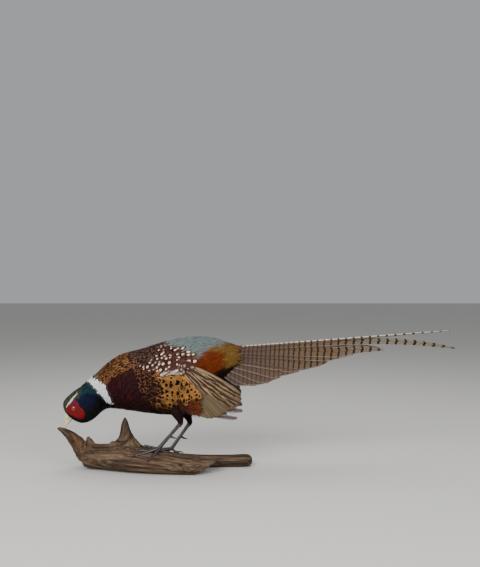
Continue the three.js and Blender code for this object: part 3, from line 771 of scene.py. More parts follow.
def barbed(tree, shader, colour, along, aside, lean, count, tones, bump):
    """Draws a vane's barbs as fine grooves that lean from its shaft, and gives the shader its surface. Tones
    are the grooves' and the ridges' brightness, and bump is how strong and how deep they are."""
    slant = node(tree, "ShaderNodeMath", {0: aside, 1: -lean, 2: along}, operation="MULTIPLY_ADD")
    barb = node(tree, "ShaderNodeMath", {0: slant, 1: count * math.tau}, operation="MULTIPLY")
    barb = node(tree, "ShaderNodeMath", {0: barb}, operation="SINE")
    groove = node(
        tree, "ShaderNodeMapRange",
        {"Value": barb, "From Min": -1.0, "From Max": 1.0, "To Min": tones[0], "To Max": tones[1]},
    )
    raised = node(tree, "ShaderNodeBump", {"Strength": bump[0], "Distance": bump[1], "Height": barb})
    tree.links.new(raised.outputs["Normal"], shader.inputs["Normal"])
    return node(
        tree, "ShaderNodeMix", {"Factor": 1.0, "A": colour, "B": groove}, data_type="RGBA",
        blend_type="MULTIPLY",
    )


def plumage(name, marks, roughness=0.66, barbs=16, metallic=0.0, vary=0.35, specular=0.12):
    """A feather's material over its ground colour. Each mark is a kind, a colour and its sizes as shares of
    the vane: "fringe" (how deep), "spot" (how far along, half width, half length), "shaft" (half width,
    where it starts), "fleck" (grain size in millimetres, how much)."""
    made, tree, shader = new_material(
        name, roughness=roughness, metallic=metallic, specular_ior_level=specular
    )
    up, across, place, one = vane_reads(tree)
    ground = node(tree, "ShaderNodeAttribute", attribute_name="ground").outputs["Color"]
    aside = node(tree, "ShaderNodeMath", {0: across}, operation="ABSOLUTE")
    ragged = node(tree, "ShaderNodeTexNoise", {"Vector": place, "Scale": 520.0, "Detail": 2.0})
    along = node(tree, "ShaderNodeMath", {0: up, 1: 0.07}, operation="SUBTRACT")
    along = node(tree, "ShaderNodeMath", {0: ragged, 1: 0.14, 2: along}, operation="MULTIPLY_ADD")
    size = node(tree, "ShaderNodeMath", {0: one, 1: 7.3}, operation="MULTIPLY")
    size = node(tree, "ShaderNodeMath", {0: size}, operation="FRACT")
    size = node(tree, "ShaderNodeMapRange", {"Value": size, "To Min": 0.55, "To Max": 1.5})
    bright = node(tree, "ShaderNodeMapRange", {"Value": one, "To Min": 1 - vary, "To Max": 1 + vary * 0.6})
    colour = node(
        tree, "ShaderNodeMix", {"Factor": 1.0, "A": ground, "B": bright}, data_type="RGBA",
        blend_type="MULTIPLY",
    )
    for kind, tint, *sizes in marks:
        if kind == "fringe":
            deep = sizes[0]
            edge = node(tree, "ShaderNodeMath", {0: aside, 1: along}, operation="MAXIMUM")
            mask = node(
                tree, "ShaderNodeMapRange",
                {"Value": edge, "From Min": 1 - deep, "From Max": 1 - deep * 0.55},
                interpolation_type="SMOOTHSTEP",
            )
        elif kind == "spot":
            at, half_width, half_length = sizes
            wide = node(tree, "ShaderNodeMath", {0: aside, 1: half_width}, operation="DIVIDE")
            long = node(tree, "ShaderNodeMath", {0: along, 1: at}, operation="SUBTRACT")
            long = node(tree, "ShaderNodeMath", {0: long, 1: half_length}, operation="DIVIDE")
            off = node(tree, "ShaderNodeCombineXYZ", {"X": wide, "Y": long})
            off = node(tree, "ShaderNodeVectorMath", {0: off}, operation="LENGTH")
            off = node(tree, "ShaderNodeMath", {0: off.outputs["Value"], 1: size}, operation="DIVIDE")
            mask = node(
                tree, "ShaderNodeMapRange",
                {"Value": off, "From Min": 0.84, "From Max": 1.14, "To Min": 1.0, "To Max": 0.0},
                interpolation_type="SMOOTHSTEP",
            )
        elif kind == "shaft":
            half, start = sizes
            thin = node(
                tree, "ShaderNodeMapRange",
                {"Value": aside, "From Min": half * 0.6, "From Max": half, "To Min": 1.0, "To Max": 0.0},
            )
            mask = node(
                tree, "ShaderNodeMapRange",
                {"Value": along, "From Min": start - 0.08, "From Max": start + 0.08, "To Max": thin},
            )
        else:
            size_mm, share = sizes
            grain = node(
                tree, "ShaderNodeTexNoise", {"Vector": place, "Scale": 1 / (size_mm * MM), "Detail": 2.0}
            )
            mask = node(
                tree, "ShaderNodeMapRange",
                {"Value": grain, "From Min": 0.5, "From Max": 0.62, "To Max": share},
            )
        colour = node(
            tree, "ShaderNodeMix", {"Factor": mask, "A": colour, "B": linear(tint)}, data_type="RGBA"
        )
    colour = barbed(tree, shader, colour, up, aside, 0.45, barbs, (0.8, 1.08), (0.35, 0.0004))
    tree.links.new(colour.outputs[2], shader.inputs["Base Color"])
    return made


VANE = vane_shape(4, 4)
PLUME = plume_shape(7, 3)
MELT_REACH, ROOTED_BACK = 0.35, 0.8


def dress(tract, shape, along, across, length, width, material, slot, seed, melt=0.3, nodes=(), **more):
    """Covers a tract: roots, feathers, ground colour and material. Sizes are in millimetres at its front and
    its back, and melt is how far each feather takes on the colour of the tracts round about."""
    place, angle, seen = roots_in(tract, along, across, seed, ROOTED_BACK * sum(length) / 2)
    edges = np.array(TRACTS[tract])[:, 0]
    share = (seen - edges.min()) / (edges.max() - edges.min())
    mesh = feather_mesh(
        f"{tract}_feathers", coat_form, place, angle, shape, np.interp(share, [0, 1], length),
        np.interp(share, [0, 1], width), seed + 1, **more
    )
    colour = (1 - melt) * np.array(linear(GROUND[tract])) + melt * ground_at(seen, angle, MELT_REACH)
    store(mesh, "ground", np.repeat(colour, len(mesh.vertices) // len(place), axis=0))
    add_piece(mesh, material, nodes)


# Breast vanes: matt chestnut with a violet-black fringe and a silky bloom.
breast_vanes = plumage("chestnut_breast_vanes", [("fringe", "1d060c", 0.2), ("shaft", "1c0605", 0.1, 0.5)])
dress("breast", VANE, (5.5, 6.5), (7, 8), (17, 22), (12, 15), breast_vanes, "body_plumage", 11)
# Belly down: loose sooty-brown barbs with no gloss.
belly_down = plumage("sooty_belly_down", [("fleck", "080505", 2.0, 0.6)], 0.8)
dress("belly", PLUME, (9, 10), (9, 10), (28, 32), (18, 20), belly_down, "body_plumage", 21)


# ---------------------------------------------------------------- Flanks
# Larger golden vanes, each with a black drop at its tip, over the sides from the breast to the thigh. They
# run together with the breast ahead in short scalloped vanes, and end below in loose purple-brown plumes.
fore_flank_vanes = plumage(
    "russet_flank_vanes",
    [("fringe", "875735", 0.15), ("spot", "100403", 0.82, 0.6, 0.15), ("shaft", "180704", 0.14, 0.4)],
)
dress("fore_flank", VANE, (5, 6.5), (8, 9), (20, 28), (14, 17), fore_flank_vanes, "body_plumage", 31, 0.4)
flank_vanes = plumage(
    "golden_flank_vanes",
    [("fleck", "5f3a17", 1.6, 0.5), ("fringe", "ac7c41", 0.2), ("spot", "0e0402", 0.85, 0.58, 0.11)], vary=0.3
)
dress("flank", VANE, (10, 12), (9, 11), (30, 38), (18, 22), flank_vanes, "body_plumage", 41, 0.25, turn=8)
low_plumes = plumage(
    "purple_brown_flank_plumes", [("fringe", "16070a", 0.2), ("fleck", "74391c", 3.0, 0.5)], 0.7
)
dress("low_flank", PLUME, (9, 10), (8, 9), (30, 38), (16, 18), low_plumes, "body_plumage", 51, 0.4, turn=6)


# ---------------------------------------------------------------- Mantle and back
# Close rows of small vanes from the collar to the rump: gold with a black drop down the middle on the
# mantle, and maroon-brown with fine pale edges down the back. A grey cape edges the collar behind.
mantle_vanes = plumage(
    "golden_mantle_vanes",
    [("fringe", "9c6b3d", 0.22), ("spot", "140603", 0.82, 0.5, 0.17), ("shaft", "1c0b05", 0.16, 0.3)],
)
dress("mantle", VANE, (6, 7), (5, 6), (17, 20), (8.5, 10), mantle_vanes, "body_plumage", 61, 0.2)
cape_vanes = plumage("grey_cape_vanes", [("fringe", "7d766c", 0.2), ("shaft", "1c1814", 0.2, 0.4)])
dress("cape", VANE, (4.5, 5), (4.5, 5), (12, 14), (7, 8), cape_vanes, "neck_plumage", 71)
back_vanes = plumage(
    "maroon_back_vanes",
    [("spot", "120604", 0.8, 0.36, 0.2), ("fringe", "664c3e", 0.14), ("shaft", "4d3127", 0.1, 0.7)],
)
dress("back", VANE, (6.5, 7.5), (5.5, 6.5), (20, 24), (9, 11), back_vanes, "body_plumage", 81, 0.35)


# ---------------------------------------------------------------- Scapulars
# The broad vanes that lie over the folded wing's root and hide its coverts. Each has a cream drop ringed
# with black on maroon. A pale fluffy edge of down shows under the lowest row.
scapular_vanes = plumage(
    "maroon_scapular_vanes",
    [("fleck", "2a120c", 1.5, 0.5), ("fringe", "644436", 0.13), ("spot", "100403", 0.79, 0.5, 0.17),
     ("spot", "d2b5a1", 0.82, 0.27, 0.08)],
)
wing_down = plumage("pale_wing_down", [("fleck", "8f7868", 2.5, 0.5)], 0.8)
dress("fluff", PLUME, (4, 4), (3.5, 3.5), (14, 16), (8, 9), wing_down, "body_plumage", 91, high=1.2)
dress("scapular", VANE, (6.5, 12), (6.5, 11), (22, 38), (12, 22), scapular_vanes, "body_plumage", 101, 0.15,
      ["wing_left_coverts", "wing_right_coverts"], turn=4, high=0.8)


# ---------------------------------------------------------------- Rump and tail coverts
# Soft slate-blue vanes over the rump run into loose olive plumes that hide the tail's root. A patch of
# flame-coloured hair-like plumes lies on each side, with dark under-tail plumes below it.
rump_vanes = plumage(
    "slate_rump_plumes", [("fleck", "39413d", 1.4, 0.6), ("fringe", "8a9694", 0.2)], 0.7, vary=0.2
)
dress("rump", PLUME, (6, 7), (5, 6), (24, 30), (11, 12), rump_vanes, "rump_plumage", 111, 0.6)
covert_plumes = plumage("olive_tail_coverts", [("fleck", "47361a", 2.0, 0.4)], 0.7, vary=0.25)
dress("tail_covert", PLUME, (8, 8), (6, 6), (34, 30), (14, 12), covert_plumes, "rump_plumage", 121, 0.6)
flame_plumes = plumage("flame_side_plumes", [("fleck", "561a04", 2.5, 0.4)], 0.7, vary=0.25)
dress("flame", PLUME, (6, 7), (5, 6), (30, 34), (12, 12), flame_plumes, "rump_plumage", 131, 0.5, turn=6)
vent_plumes = plumage("dark_under_tail_plumes", [("fleck", "0d0403", 3.0, 0.5)], 0.8)
dress("vent", PLUME, (9, 9), (7, 7), (32, 30), (15, 13), vent_plumes, "rump_plumage", 141)


# ---------------------------------------------------------------- Neck and collar
# Small tight vanes with a metallic gloss: violet-blue on the sides, bottle green to the nape, near black on
# the throat. The collar is pure white and thicker, and stands a little proud.
SMALL = vane_shape(2, 3)
neck_vanes = plumage("glossy_blue_neck_vanes", [("fringe", "030616", 0.22)], 0.42, 12, 0.45, specular=0.3)
nape_vanes = plumage("glossy_green_nape_vanes", [("fringe", "081f22", 0.2)], 0.42, 12, 0.45, specular=0.3)
throat_vanes = plumage("glossy_black_throat_vanes", [("fringe", "030405", 0.2)], 0.45, 12, 0.3, specular=0.2)
dress("throat", SMALL, (2.2, 4.2), (2.2, 4.2), (5.5, 12), (3.4, 7.4), throat_vanes, "neck_plumage", 151)
dress("neck", VANE, (2.2, 3.6), (2.3, 3.8), (6, 11), (4, 7), neck_vanes, "neck_plumage", 161)
dress("nape", VANE, (2.7, 3.7), (2.8, 3.7), (7.5, 11), (5, 7), nape_vanes, "neck_plumage", 171)
collar_vanes = plumage("white_collar_vanes", [("shaft", "c9c6cc", 0.1, 0.5)], 0.7, vary=0.05)
dress("collar", VANE, (3.2, 3.8), (3.6, 4.2), (9, 11), (6.5, 7.5), collar_vanes, "neck_plumage", 181, 0,
      high=0.6)


# ---------------------------------------------------------------- Crown and brow
# The smallest vanes on the bird: bronze-olive over the crown, with a white brow that starts at the bill.
crown_vanes = plumage("bronze_crown_vanes", [("fringe", "545a47", 0.16), ("shaft", "0c0f09", 0.25, 0.3)], 0.5)
dress("crown", SMALL, (1.6, 2.9), (1.5, 2.7), (4, 8), (2.3, 4.5), crown_vanes, "head_plumage", 191)
brow_vanes = plumage("white_brow_vanes", [], 0.7, vary=0.08)
dress("brow", SMALL, (1.2, 1.6), (1.1, 1.4), (4.5, 5.5), (1.8, 2.4), brow_vanes, "head_plumage", 201, 0,
      high=0.5)


# ---------------------------------------------------------------- Bill
# Two horn sheaths over bone, ivory with a faint grain down their length. The upper one is ridged along its
# top, has a lidded nostril on each side and hooks over the lower one.
# Rows are x, y, z, radius, and width over height.
BILL_UPPER = [
    (-196.5, 0, 114, 8.2, 0.86), (-199.8, 0, 106.5, 7.5, 0.86), (-202.1, 0, 98.5, 5.5, 0.92),
    (-203.2, 0, 91.5, 3.2, 0.98), (-203.3, 0, 84.2, 0.7, 1),
]
BILL_LOWER = [
    (-191.5, 0, 106.5, 4.8, 1.2), (-196, 0, 100, 3.9, 1.3), (-200, 0, 93.2, 2.7, 1.35),
    (-202.2, 0, 88.2, 1.0, 1.5),
]


def bump_at(t, up, aside, at, size):
    """A smooth swelling on both sides of a bill round a place given along it and up it."""
    return np.exp(-(((t - at[0]) / size[0]) ** 2) - ((up - at[1]) / size[1]) ** 2) * (np.abs(aside) > 0.3)


def upper_bill(t, up, aside):
    """The upper sheath's corners, moved on their ring's axes, and how much painted shade darkens the
    nostril's slit at each.
    """
    flap = bump_at(t, up, aside, (0.27, 0.3), (0.09, 0.3))
    slit = bump_at(t, up, aside, (0.33, -0.02), (0.07, 0.12))
    ridge = aside * (1 - 0.3 * np.clip(up, 0, 1) ** 2) * (1 + 0.1 * flap - 0.24 * slit)
    under = np.where(up < -0.5, -0.5 + (up + 0.5) * 0.6, up)
    edge = 1 + 0.1 * np.exp(-(((up + 0.5) / 0.16) ** 2)) * (t < 0.85)
    return under, ridge * edge, bump_at(t, up, aside, (0.335, 0.0), (0.055, 0.1))


def lower_bill(t, up, aside):
    """The lower sheath's corners, narrowed a little under its keel. It has no slit."""
    return up, aside * (1 - 0.12 * np.clip(-up, 0, 1) ** 2), 0 * t


def sheath(name, rings, sides, shape):
    """A loft whose corners are moved on their ring's axes by a shape."""
    bm = bmesh.new()
    loft(bm, rings, sides)
    mesh = mesh_of(bm, name)
    points = read_points(mesh)
    number, up, aside = in_rings(points, rings, sides)
    new_up, new_aside, slit = shape(number / (len(rings) - 1), up, aside)
    ring_up, ring_aside = (np.array([r[i] for r in rings])[number] for i in (1, 2))
    points += ring_up * (new_up - up)[:, None] + ring_aside * (new_aside - aside)[:, None]
    write_points(mesh, points)
    store(mesh, "slit", slit)
    return mesh


# Keratin, grown in long fibres and worn smooth: ivory, waxy and slightly glossy, clouded with greyer patches.
keratin, tree, shader = new_material(
    "ivory_keratin", roughness=0.34, subsurface_weight=0.12, coat_weight=0.15
)
shader.inputs["Subsurface Radius"].default_value = (0.003, 0.002, 0.001)
place = node(tree, "ShaderNodeTexCoord").outputs["Object"]
slit = node(tree, "ShaderNodeAttribute", attribute_name="slit").outputs["Fac"]
fibre_way = node(tree, "ShaderNodeMapping", {"Vector": place, "Scale": (1, 1, 0.16)})
fibre = node(tree, "ShaderNodeTexNoise", {"Vector": fibre_way, "Scale": 1400.0, "Detail": 3.0})
cloud = node(tree, "ShaderNodeTexNoise", {"Vector": place, "Scale": 160.0, "Detail": 2.0})
tone = node(tree, "ShaderNodeMapRange", {"Value": cloud, "From Min": 0.35, "From Max": 0.7})
# Painted shade: the nostril's slit is darkened, standing in for the depth of its opening.
nostril = node(tree, "ShaderNodeMapRange", {"Value": slit, "From Min": 0.3, "From Max": 0.7})
horn = linear("d6d0a4")
for share, tint in ((tone, "a09a72"), (nostril, "3a2c20")):
    horn = node(tree, "ShaderNodeMix", {"Factor": share, "A": horn, "B": linear(tint)}, data_type="RGBA")
tree.links.new(horn.outputs[2], shader.inputs["Base Color"])
bump = node(tree, "ShaderNodeBump", {"Strength": 0.25, "Distance": 0.0003, "Height": fibre})
tree.links.new(bump.outputs["Normal"], shader.inputs["Normal"])
for part, rows, rings, sides, shape in (
    ("upper", BILL_UPPER, 44, 32, upper_bill), ("lower", BILL_LOWER, 28, 24, lower_bill)
):
    mesh = sheath(f"bill_{part}_sheath", limb_rings(rows, rings), sides, shape)
    add_piece(mesh, keratin, [f"bill_{part}"])


# ---------------------------------------------------------------- Bare face
# The wattle: thick crimson skin from the bill to behind the eye, covered in small soft knobs and folded
# into a lobe below the eye. Its edge tucks under the feathers all round.
SIDES = {"left": -1, "right": 1}
EYE_AT = np.array([-183.3, 13.8, 127.5]) * MM
EYE_RADIUS, EYE_HOLE = 5.3 * MM, 4.6 * MM
FACE_AROUND, FACE_OUT, FACE_THICK = 168, 44, 0.9 * MM


def place_seen(x, z):
    """The place and angle on the body's side that lie behind x, z seen from the left."""
    places = np.linspace(-0.8, 7, 3000)
    s = spline(STATIONS, places) * MM
    up = np.c_[s[:, 0] - s[:, 2], s[:, 1] - s[:, 3]] / 2
    off_x = x[:, None] - (s[:, 0] + s[:, 2]) / 2
    off_z = z[:, None] - (s[:, 1] + s[:, 3]) / 2
    length = (up**2).sum(1)
    miss = np.abs(off_x * up[:, 1] - off_z * up[:, 0]) / np.sqrt(length)
    share = (off_x * up[:, 0] + off_z * up[:, 1]) / length
    best = np.argmin(miss + (np.abs(share) > 1.1), axis=1)
    return places[best], np.arccos(np.clip(share[np.arange(len(x)), best], -0.999, 0.999))


outline = np.array(BARE_FACE) * MM
count = len(outline)
smooth = spline(np.vstack([outline[-2:], outline, outline[:3]]), np.linspace(2, count + 2, 400)[:-1])
direction = np.arctan2(smooth[:, 1] - EYE_AT[2], smooth[:, 0] - EYE_AT[0])
order = np.argsort(direction)
turns = np.linspace(-math.pi, math.pi, FACE_AROUND + 1)
reach = np.interp(
    turns, direction[order], np.hypot(*(smooth - EYE_AT[[0, 2]]).T)[order], period=2 * math.pi
)
inner, outer = (
    place_seen(EYE_AT[0] + r * np.cos(turns), EYE_AT[2] + r * np.sin(turns)) for r in (EYE_HOLE, reach)
)


def thickened(bm, centre, thickness):
    """Closes a sheet's seams, turns it to face away from a centre and thickens it inward."""
    bmesh.ops.remove_doubles(bm, verts=bm.verts, dist=1e-6)
    bmesh.ops.recalc_face_normals(bm, faces=bm.faces)
    if sum(f.normal.dot(f.calc_center_median() - centre) for f in bm.faces) < 0:
        bmesh.ops.reverse_faces(bm, faces=bm.faces)
    bmesh.ops.solidify(bm, geom=bm.faces[:], thickness=thickness)


# Wattle skin: living-looking crimson with painted light and shade, lighter on each knob and dark between
# them, magenta over the eye and orange behind it.
wattle, tree, shader = new_material("crimson_wattle_skin", roughness=0.5, specular_ior_level=0.14)
place = node(tree, "ShaderNodeTexCoord").outputs["Object"]
tint = node(tree, "ShaderNodeAttribute", attribute_name="tint")
knobs = node(
    tree, "ShaderNodeTexVoronoi", {"Vector": place, "Scale": 900.0, "Smoothness": 0.35}, feature="SMOOTH_F1"
)
# Painted light and shade: each knob is lightened and the skin between knobs darkened; the same values raise
# the knobs.
knob_relief_and_painted_shade = node(
    tree, "ShaderNodeMapRange",
    {"Value": knobs, "From Min": 0.2, "From Max": 0.75, "To Min": 1.15, "To Max": 0.3},
)
red = node(
    tree, "ShaderNodeMix", {"Factor": 1.0, "A": tint, "B": knob_relief_and_painted_shade}, data_type="RGBA", blend_type="MULTIPLY"
)
tree.links.new(red.outputs[2], shader.inputs["Base Color"])
bump = node(tree, "ShaderNodeBump", {"Strength": 0.8, "Distance": 0.0006, "Height": knob_relief_and_painted_shade})
tree.links.new(bump.outputs["Normal"], shader.inputs["Normal"])

for side_name, side in SIDES.items():
    bm = bmesh.new()
    bmesh.ops.create_grid(bm, x_segments=FACE_AROUND, y_segments=FACE_OUT, size=1)
    corners = np.array([v.co for v in bm.verts])
    k = (corners[:, 0] + 1) / 2 * FACE_AROUND
    out = (corners[:, 1] + 1) / 2
    around = np.arange(FACE_AROUND + 1)
    face_place, face_angle = (
        (1 - out) * np.interp(k, around, near) + out * np.interp(k, around, far)
        for near, far in zip(inner, outer)
    )
    face_angle = face_angle * -side
    base = body_form(face_place, face_angle)
    normal = ways(body_form, face_place, face_angle)[2]
    where = base / MM
    knob = noise_at(where * 0.5, 3)
    lobe = np.exp(-(((where[:, 0] + 168) / 7) ** 2) - ((where[:, 2] - 112) / 6) ** 2)
    fold = np.exp(-(((where[:, 2] - 119.5 + 0.25 * (where[:, 0] + 180)) / 1.1) ** 2)) * (out > 0.25)
    height = 1.7 * (1 - out**7) - 1.0 * out**7 + 0.9 * lobe + 0.35 * knob * (1 - out**6) - 0.5 * fold
    for v, p in zip(bm.verts, base + normal * (height * MM)[:, None]):
        v.co = p
    thickened(bm, Vector(EYE_AT * [1, 0, 1]), FACE_THICK)
    mesh = mesh_of(bm, f"wattle_{side_name}_skin")
    where = read_points(mesh) / MM
    upper = np.clip((where[:, 2] - 133) / 7, 0, 1)[:, None]
    rear = 0.6 * np.exp(-(((where[:, 0] + 172) / 4) ** 2) - ((where[:, 2] - 126) / 6) ** 2)[:, None]
    colour = np.array(linear("7c0710"))
    for share, code in ((upper, "5a1c30"), (rear, "4a2016")):
        colour = colour * (1 - share) + np.array(linear(code)) * share
    store(mesh, "tint", colour)
    add_piece(mesh, wattle, [f"wattle_{side_name}"])


# ---------------------------------------------------------------- Eyes
# Glass eyes set deep in the face: a pale amber iris round a black pupil under a clear dome. Two wrinkled
# lids close in over the glass, with a row of pale beads along their margin.
glass, tree, shader = new_material("glass_eye", roughness=0.04, coat_weight=1.0, ior=1.5)
place = node(tree, "ShaderNodeTexCoord").outputs["Object"]
centred = node(tree, "ShaderNodeMapping", {"Vector": place, "Location": (-EYE_AT[0], 0, -EYE_AT[2])})
flat = node(tree, "ShaderNodeVectorMath", {0: centred, 1: (1, 0, 1)}, operation="MULTIPLY")
off_axis = node(tree, "ShaderNodeVectorMath", {0: flat}, operation="LENGTH").outputs["Value"]
off_axis = node(tree, "ShaderNodeMath", {0: off_axis, 1: 1 / MM}, operation="MULTIPLY")
strands = node(tree, "ShaderNodeTexNoise", {"Vector": flat, "Scale": 1500.0, "Detail": 2.0})
tone = node(tree, "ShaderNodeMapRange", {"Value": strands, "From Min": 0.35, "From Max": 0.65})
rim = node(tree, "ShaderNodeMapRange", {"Value": off_axis, "From Min": 3.5, "From Max": 4.1})
pupil = node(
    tree, "ShaderNodeMapRange",
    {"Value": off_axis, "From Min": 1.75, "From Max": 1.95, "To Min": 1.0, "To Max": 0.0},
)
iris = linear("5a2e26")
for share, tint in ((tone, "94604e"), (rim, "3a1c0e"), (pupil, "050303")):
    iris = node(tree, "ShaderNodeMix", {"Factor": share, "A": iris, "B": linear(tint)}, data_type="RGBA")
tree.links.new(iris.outputs[2], shader.inputs["Base Color"])

# Eyelid skin: thin, pinkish and finely wrinkled, paler than the wattle and a little moist.
lid_skin, tree, shader = new_material("eyelid_skin", roughness=0.42, subsurface_weight=0.08)
shader.inputs["Subsurface Radius"].default_value = (0.002, 0.001, 0.001)
place = node(tree, "ShaderNodeTexCoord").outputs["Object"]
wrinkle = node(tree, "ShaderNodeTexNoise", {"Vector": place, "Scale": 1500.0, "Detail": 3.0})
tone = node(tree, "ShaderNodeMapRange", {"Value": wrinkle, "From Min": 0.35, "From Max": 0.65})
pink = node(
    tree, "ShaderNodeMix", {"Factor": tone, "A": linear("4c1518"), "B": linear("94564c")}, data_type="RGBA"
)
tree.links.new(pink.outputs[2], shader.inputs["Base Color"])
bump = node(tree, "ShaderNodeBump", {"Strength": 0.4, "Distance": 0.0002, "Height": wrinkle})
tree.links.new(bump.outputs["Normal"], shader.inputs["Normal"])

LID_AROUND, LID_OUT, LID_THICK = 72, 14, 0.35 * MM
for side_name, side in SIDES.items():
    centre = Vector(EYE_AT * [1, side, 1])
    bm = bmesh.new()
    bmesh.ops.create_uvsphere(
        bm, u_segments=40, v_segments=24, radius=EYE_RADIUS, matrix=Matrix.Translation(centre)
    )
    add_piece(mesh_of(bm, f"eye_{side_name}_glass"), glass, [f"eye_{side_name}"])
    bm = bmesh.new()
    bmesh.ops.create_grid(bm, x_segments=LID_AROUND, y_segments=LID_OUT, size=1)
    for v in bm.verts:
        around, out = v.co.x * math.pi, (v.co.y + 1) / 2
        up = math.sin(around)
        margin = math.radians(49 - 7 * max(up, 0) - 3 * max(-up, 0) + 5 * math.cos(around) ** 4)
        off = margin + (math.radians(100) - margin) * out
        fold = 0.38 * math.sin(math.pi * min(out * 2.1, 1))
        fold += 0.2 * math.cos(out * 22) * (out > 0.3) * (1 - out)
        bead = 0.16 * math.cos(around * 26) * math.exp(-(((out - 0.16) / 0.1) ** 2))
        radius = EYE_RADIUS + (0.05 + fold + bead + 0.25 * out) * MM
        v.co = centre + radius * Vector(
            (math.sin(off) * math.cos(around), side * math.cos(off), math.sin(off) * math.sin(around))
        )
    thickened(bm, centre, LID_THICK)
    add_piece(mesh_of(bm, f"lids_{side_name}"), lid_skin)


# ---------------------------------------------------------------- Flight feathers
# The folded wing hangs as a fan below the scapulars. Long stiff vanes on round horn shafts: smooth buff
# secondaries below, narrow brown tertials with cream edges over them, and pale primaries behind.
FAN_PIVOT = np.array([25.0, 230.0])
FAN_OUT, FAN_TAPER, FAN_BEND, FAN_LEVEL = 70.5, 0.17, 0.0011, 185
BARB_SAW, SPLITS, SPLIT_HALF = 90, 3, 0.022
VANE_THICK, SHAFT_END, GOLDEN = 0.3, 0.985, 0.381966


def fan_depth(x, z):
    """How far out from the middle the fan's outer surface lies, in millimetres."""
    return FAN_OUT - FAN_TAPER * (x - FAN_PIVOT[0]) - FAN_BEND * (z - FAN_LEVEL) ** 2


def frayed(r, c, seed):
    """How much of its width a long vane keeps at each place: a fine saw edge and a few open splits."""
    random = np.random.default_rng(seed)
    kept = 1 - 0.035 * np.abs(np.sin(r * BARB_SAW + seed)) * np.abs(c) ** 3
    for _ in range(SPLITS):
        at, edge, depth = random.uniform(0.35, 0.97), random.choice([-1, 1]), random.uniform(0.08, 0.26)
        near = np.clip(1 - np.abs(r - at) / SPLIT_HALF, 0, 1)
        kept = kept - depth * near * np.clip((c * edge - 0.3) / 0.7, 0, 1)
    return kept


def long_feathers(name, feathers, rows=44, columns=8):
    """Joins long feathers into one mesh. Each is at(r, c, under), which gives a point in millimetres along
    and across its vane and under its top, its shaft's radius in millimetres, and its number."""
    vane, vane_quads = flat_grid(columns, rows)
    shaft, shaft_quads = flat_grid(2, rows)
    parts, total = [], 0
    for strip, (at, shaft_radius, number) in enumerate(feathers):
        r, c = vane[:, 1], vane[:, 0]
        parts.append((
            at(r, c * frayed(r, c, number), -vane[:, 2] * VANE_THICK), vane_quads + total,
            np.c_[c / 2 + 0.5, r], np.c_[(strip + 0.46 + 0.44 * c) / len(feathers), r],
            np.full(len(r), number * GOLDEN % 1),
        ))
        total += len(r)
        r, c = np.minimum(shaft[:, 1], SHAFT_END), shaft[:, 0]
        girth = shaft_radius * (1 - 0.88 * r)
        lift = np.where(shaft[:, 2] < 0, VANE_THICK + girth * 0.5 * (1 - np.abs(c)), -girth * (1 - np.abs(c)))
        width = np.linalg.norm(at(r, np.full(len(r), 0.1), 0 * r) - at(r, 0 * r, 0 * r), axis=1) * 10
        parts.append((
            at(r, c * girth / np.maximum(width, 0.5), lift), shaft_quads + total,
            np.c_[np.full(len(r), 0.5), r], np.c_[(strip + 0.95 + 0.03 * c) / len(feathers), r],
            np.full(len(r), -1.0),
        ))
        total += len(r)
    points, quads, maps, strips, shades = (np.concatenate(part) for part in zip(*parts))
    mesh = joined_mesh(name, points * MM, quads, {"Vane": maps, "OFBake": strips})
    store(mesh, "one", shades)
    bm = bmesh.new()
    bm.from_mesh(mesh)
    bmesh.ops.recalc_face_normals(bm, faces=bm.faces)
    bm.to_mesh(mesh)
    bm.free()
    return mesh


def fan_feather(side, root, tip, wide, layer, tilt, bow, blunt=0.55):
    """One wing feather from a root to a tip, both seen from the side in millimetres. Layer is how deep it
    hangs behind the fan's outer surface, tilt how far its lower edge stands out, and bow how it curves."""
    root, tip = np.array(root, float), np.array(tip, float)
    reach = np.linalg.norm(tip - root)
    ahead = (tip - root) / reach
    below = np.array([ahead[1], -ahead[0]])

    def at(r, c, under):
        along = reach * (r - 0.035 * np.abs(c) ** 2.4 * r**5)
        taper = np.minimum(1, 0.4 + 2.4 * r) * np.sqrt(np.maximum(1 - blunt * r**6, 0.02))
        aside = c * wide * taper + bow * 4 * (r**2 - r)
        x = root[0] + along * ahead[0] + aside * below[0]
        z = root[1] + along * ahead[1] + aside * below[1]
        out = fan_depth(x, z) - layer - under + tilt * c - 0.5 * tilt * c**2 - 8 * (1 - r) ** 3
        return np.stack([x, side * out, z], axis=-1)

    return at


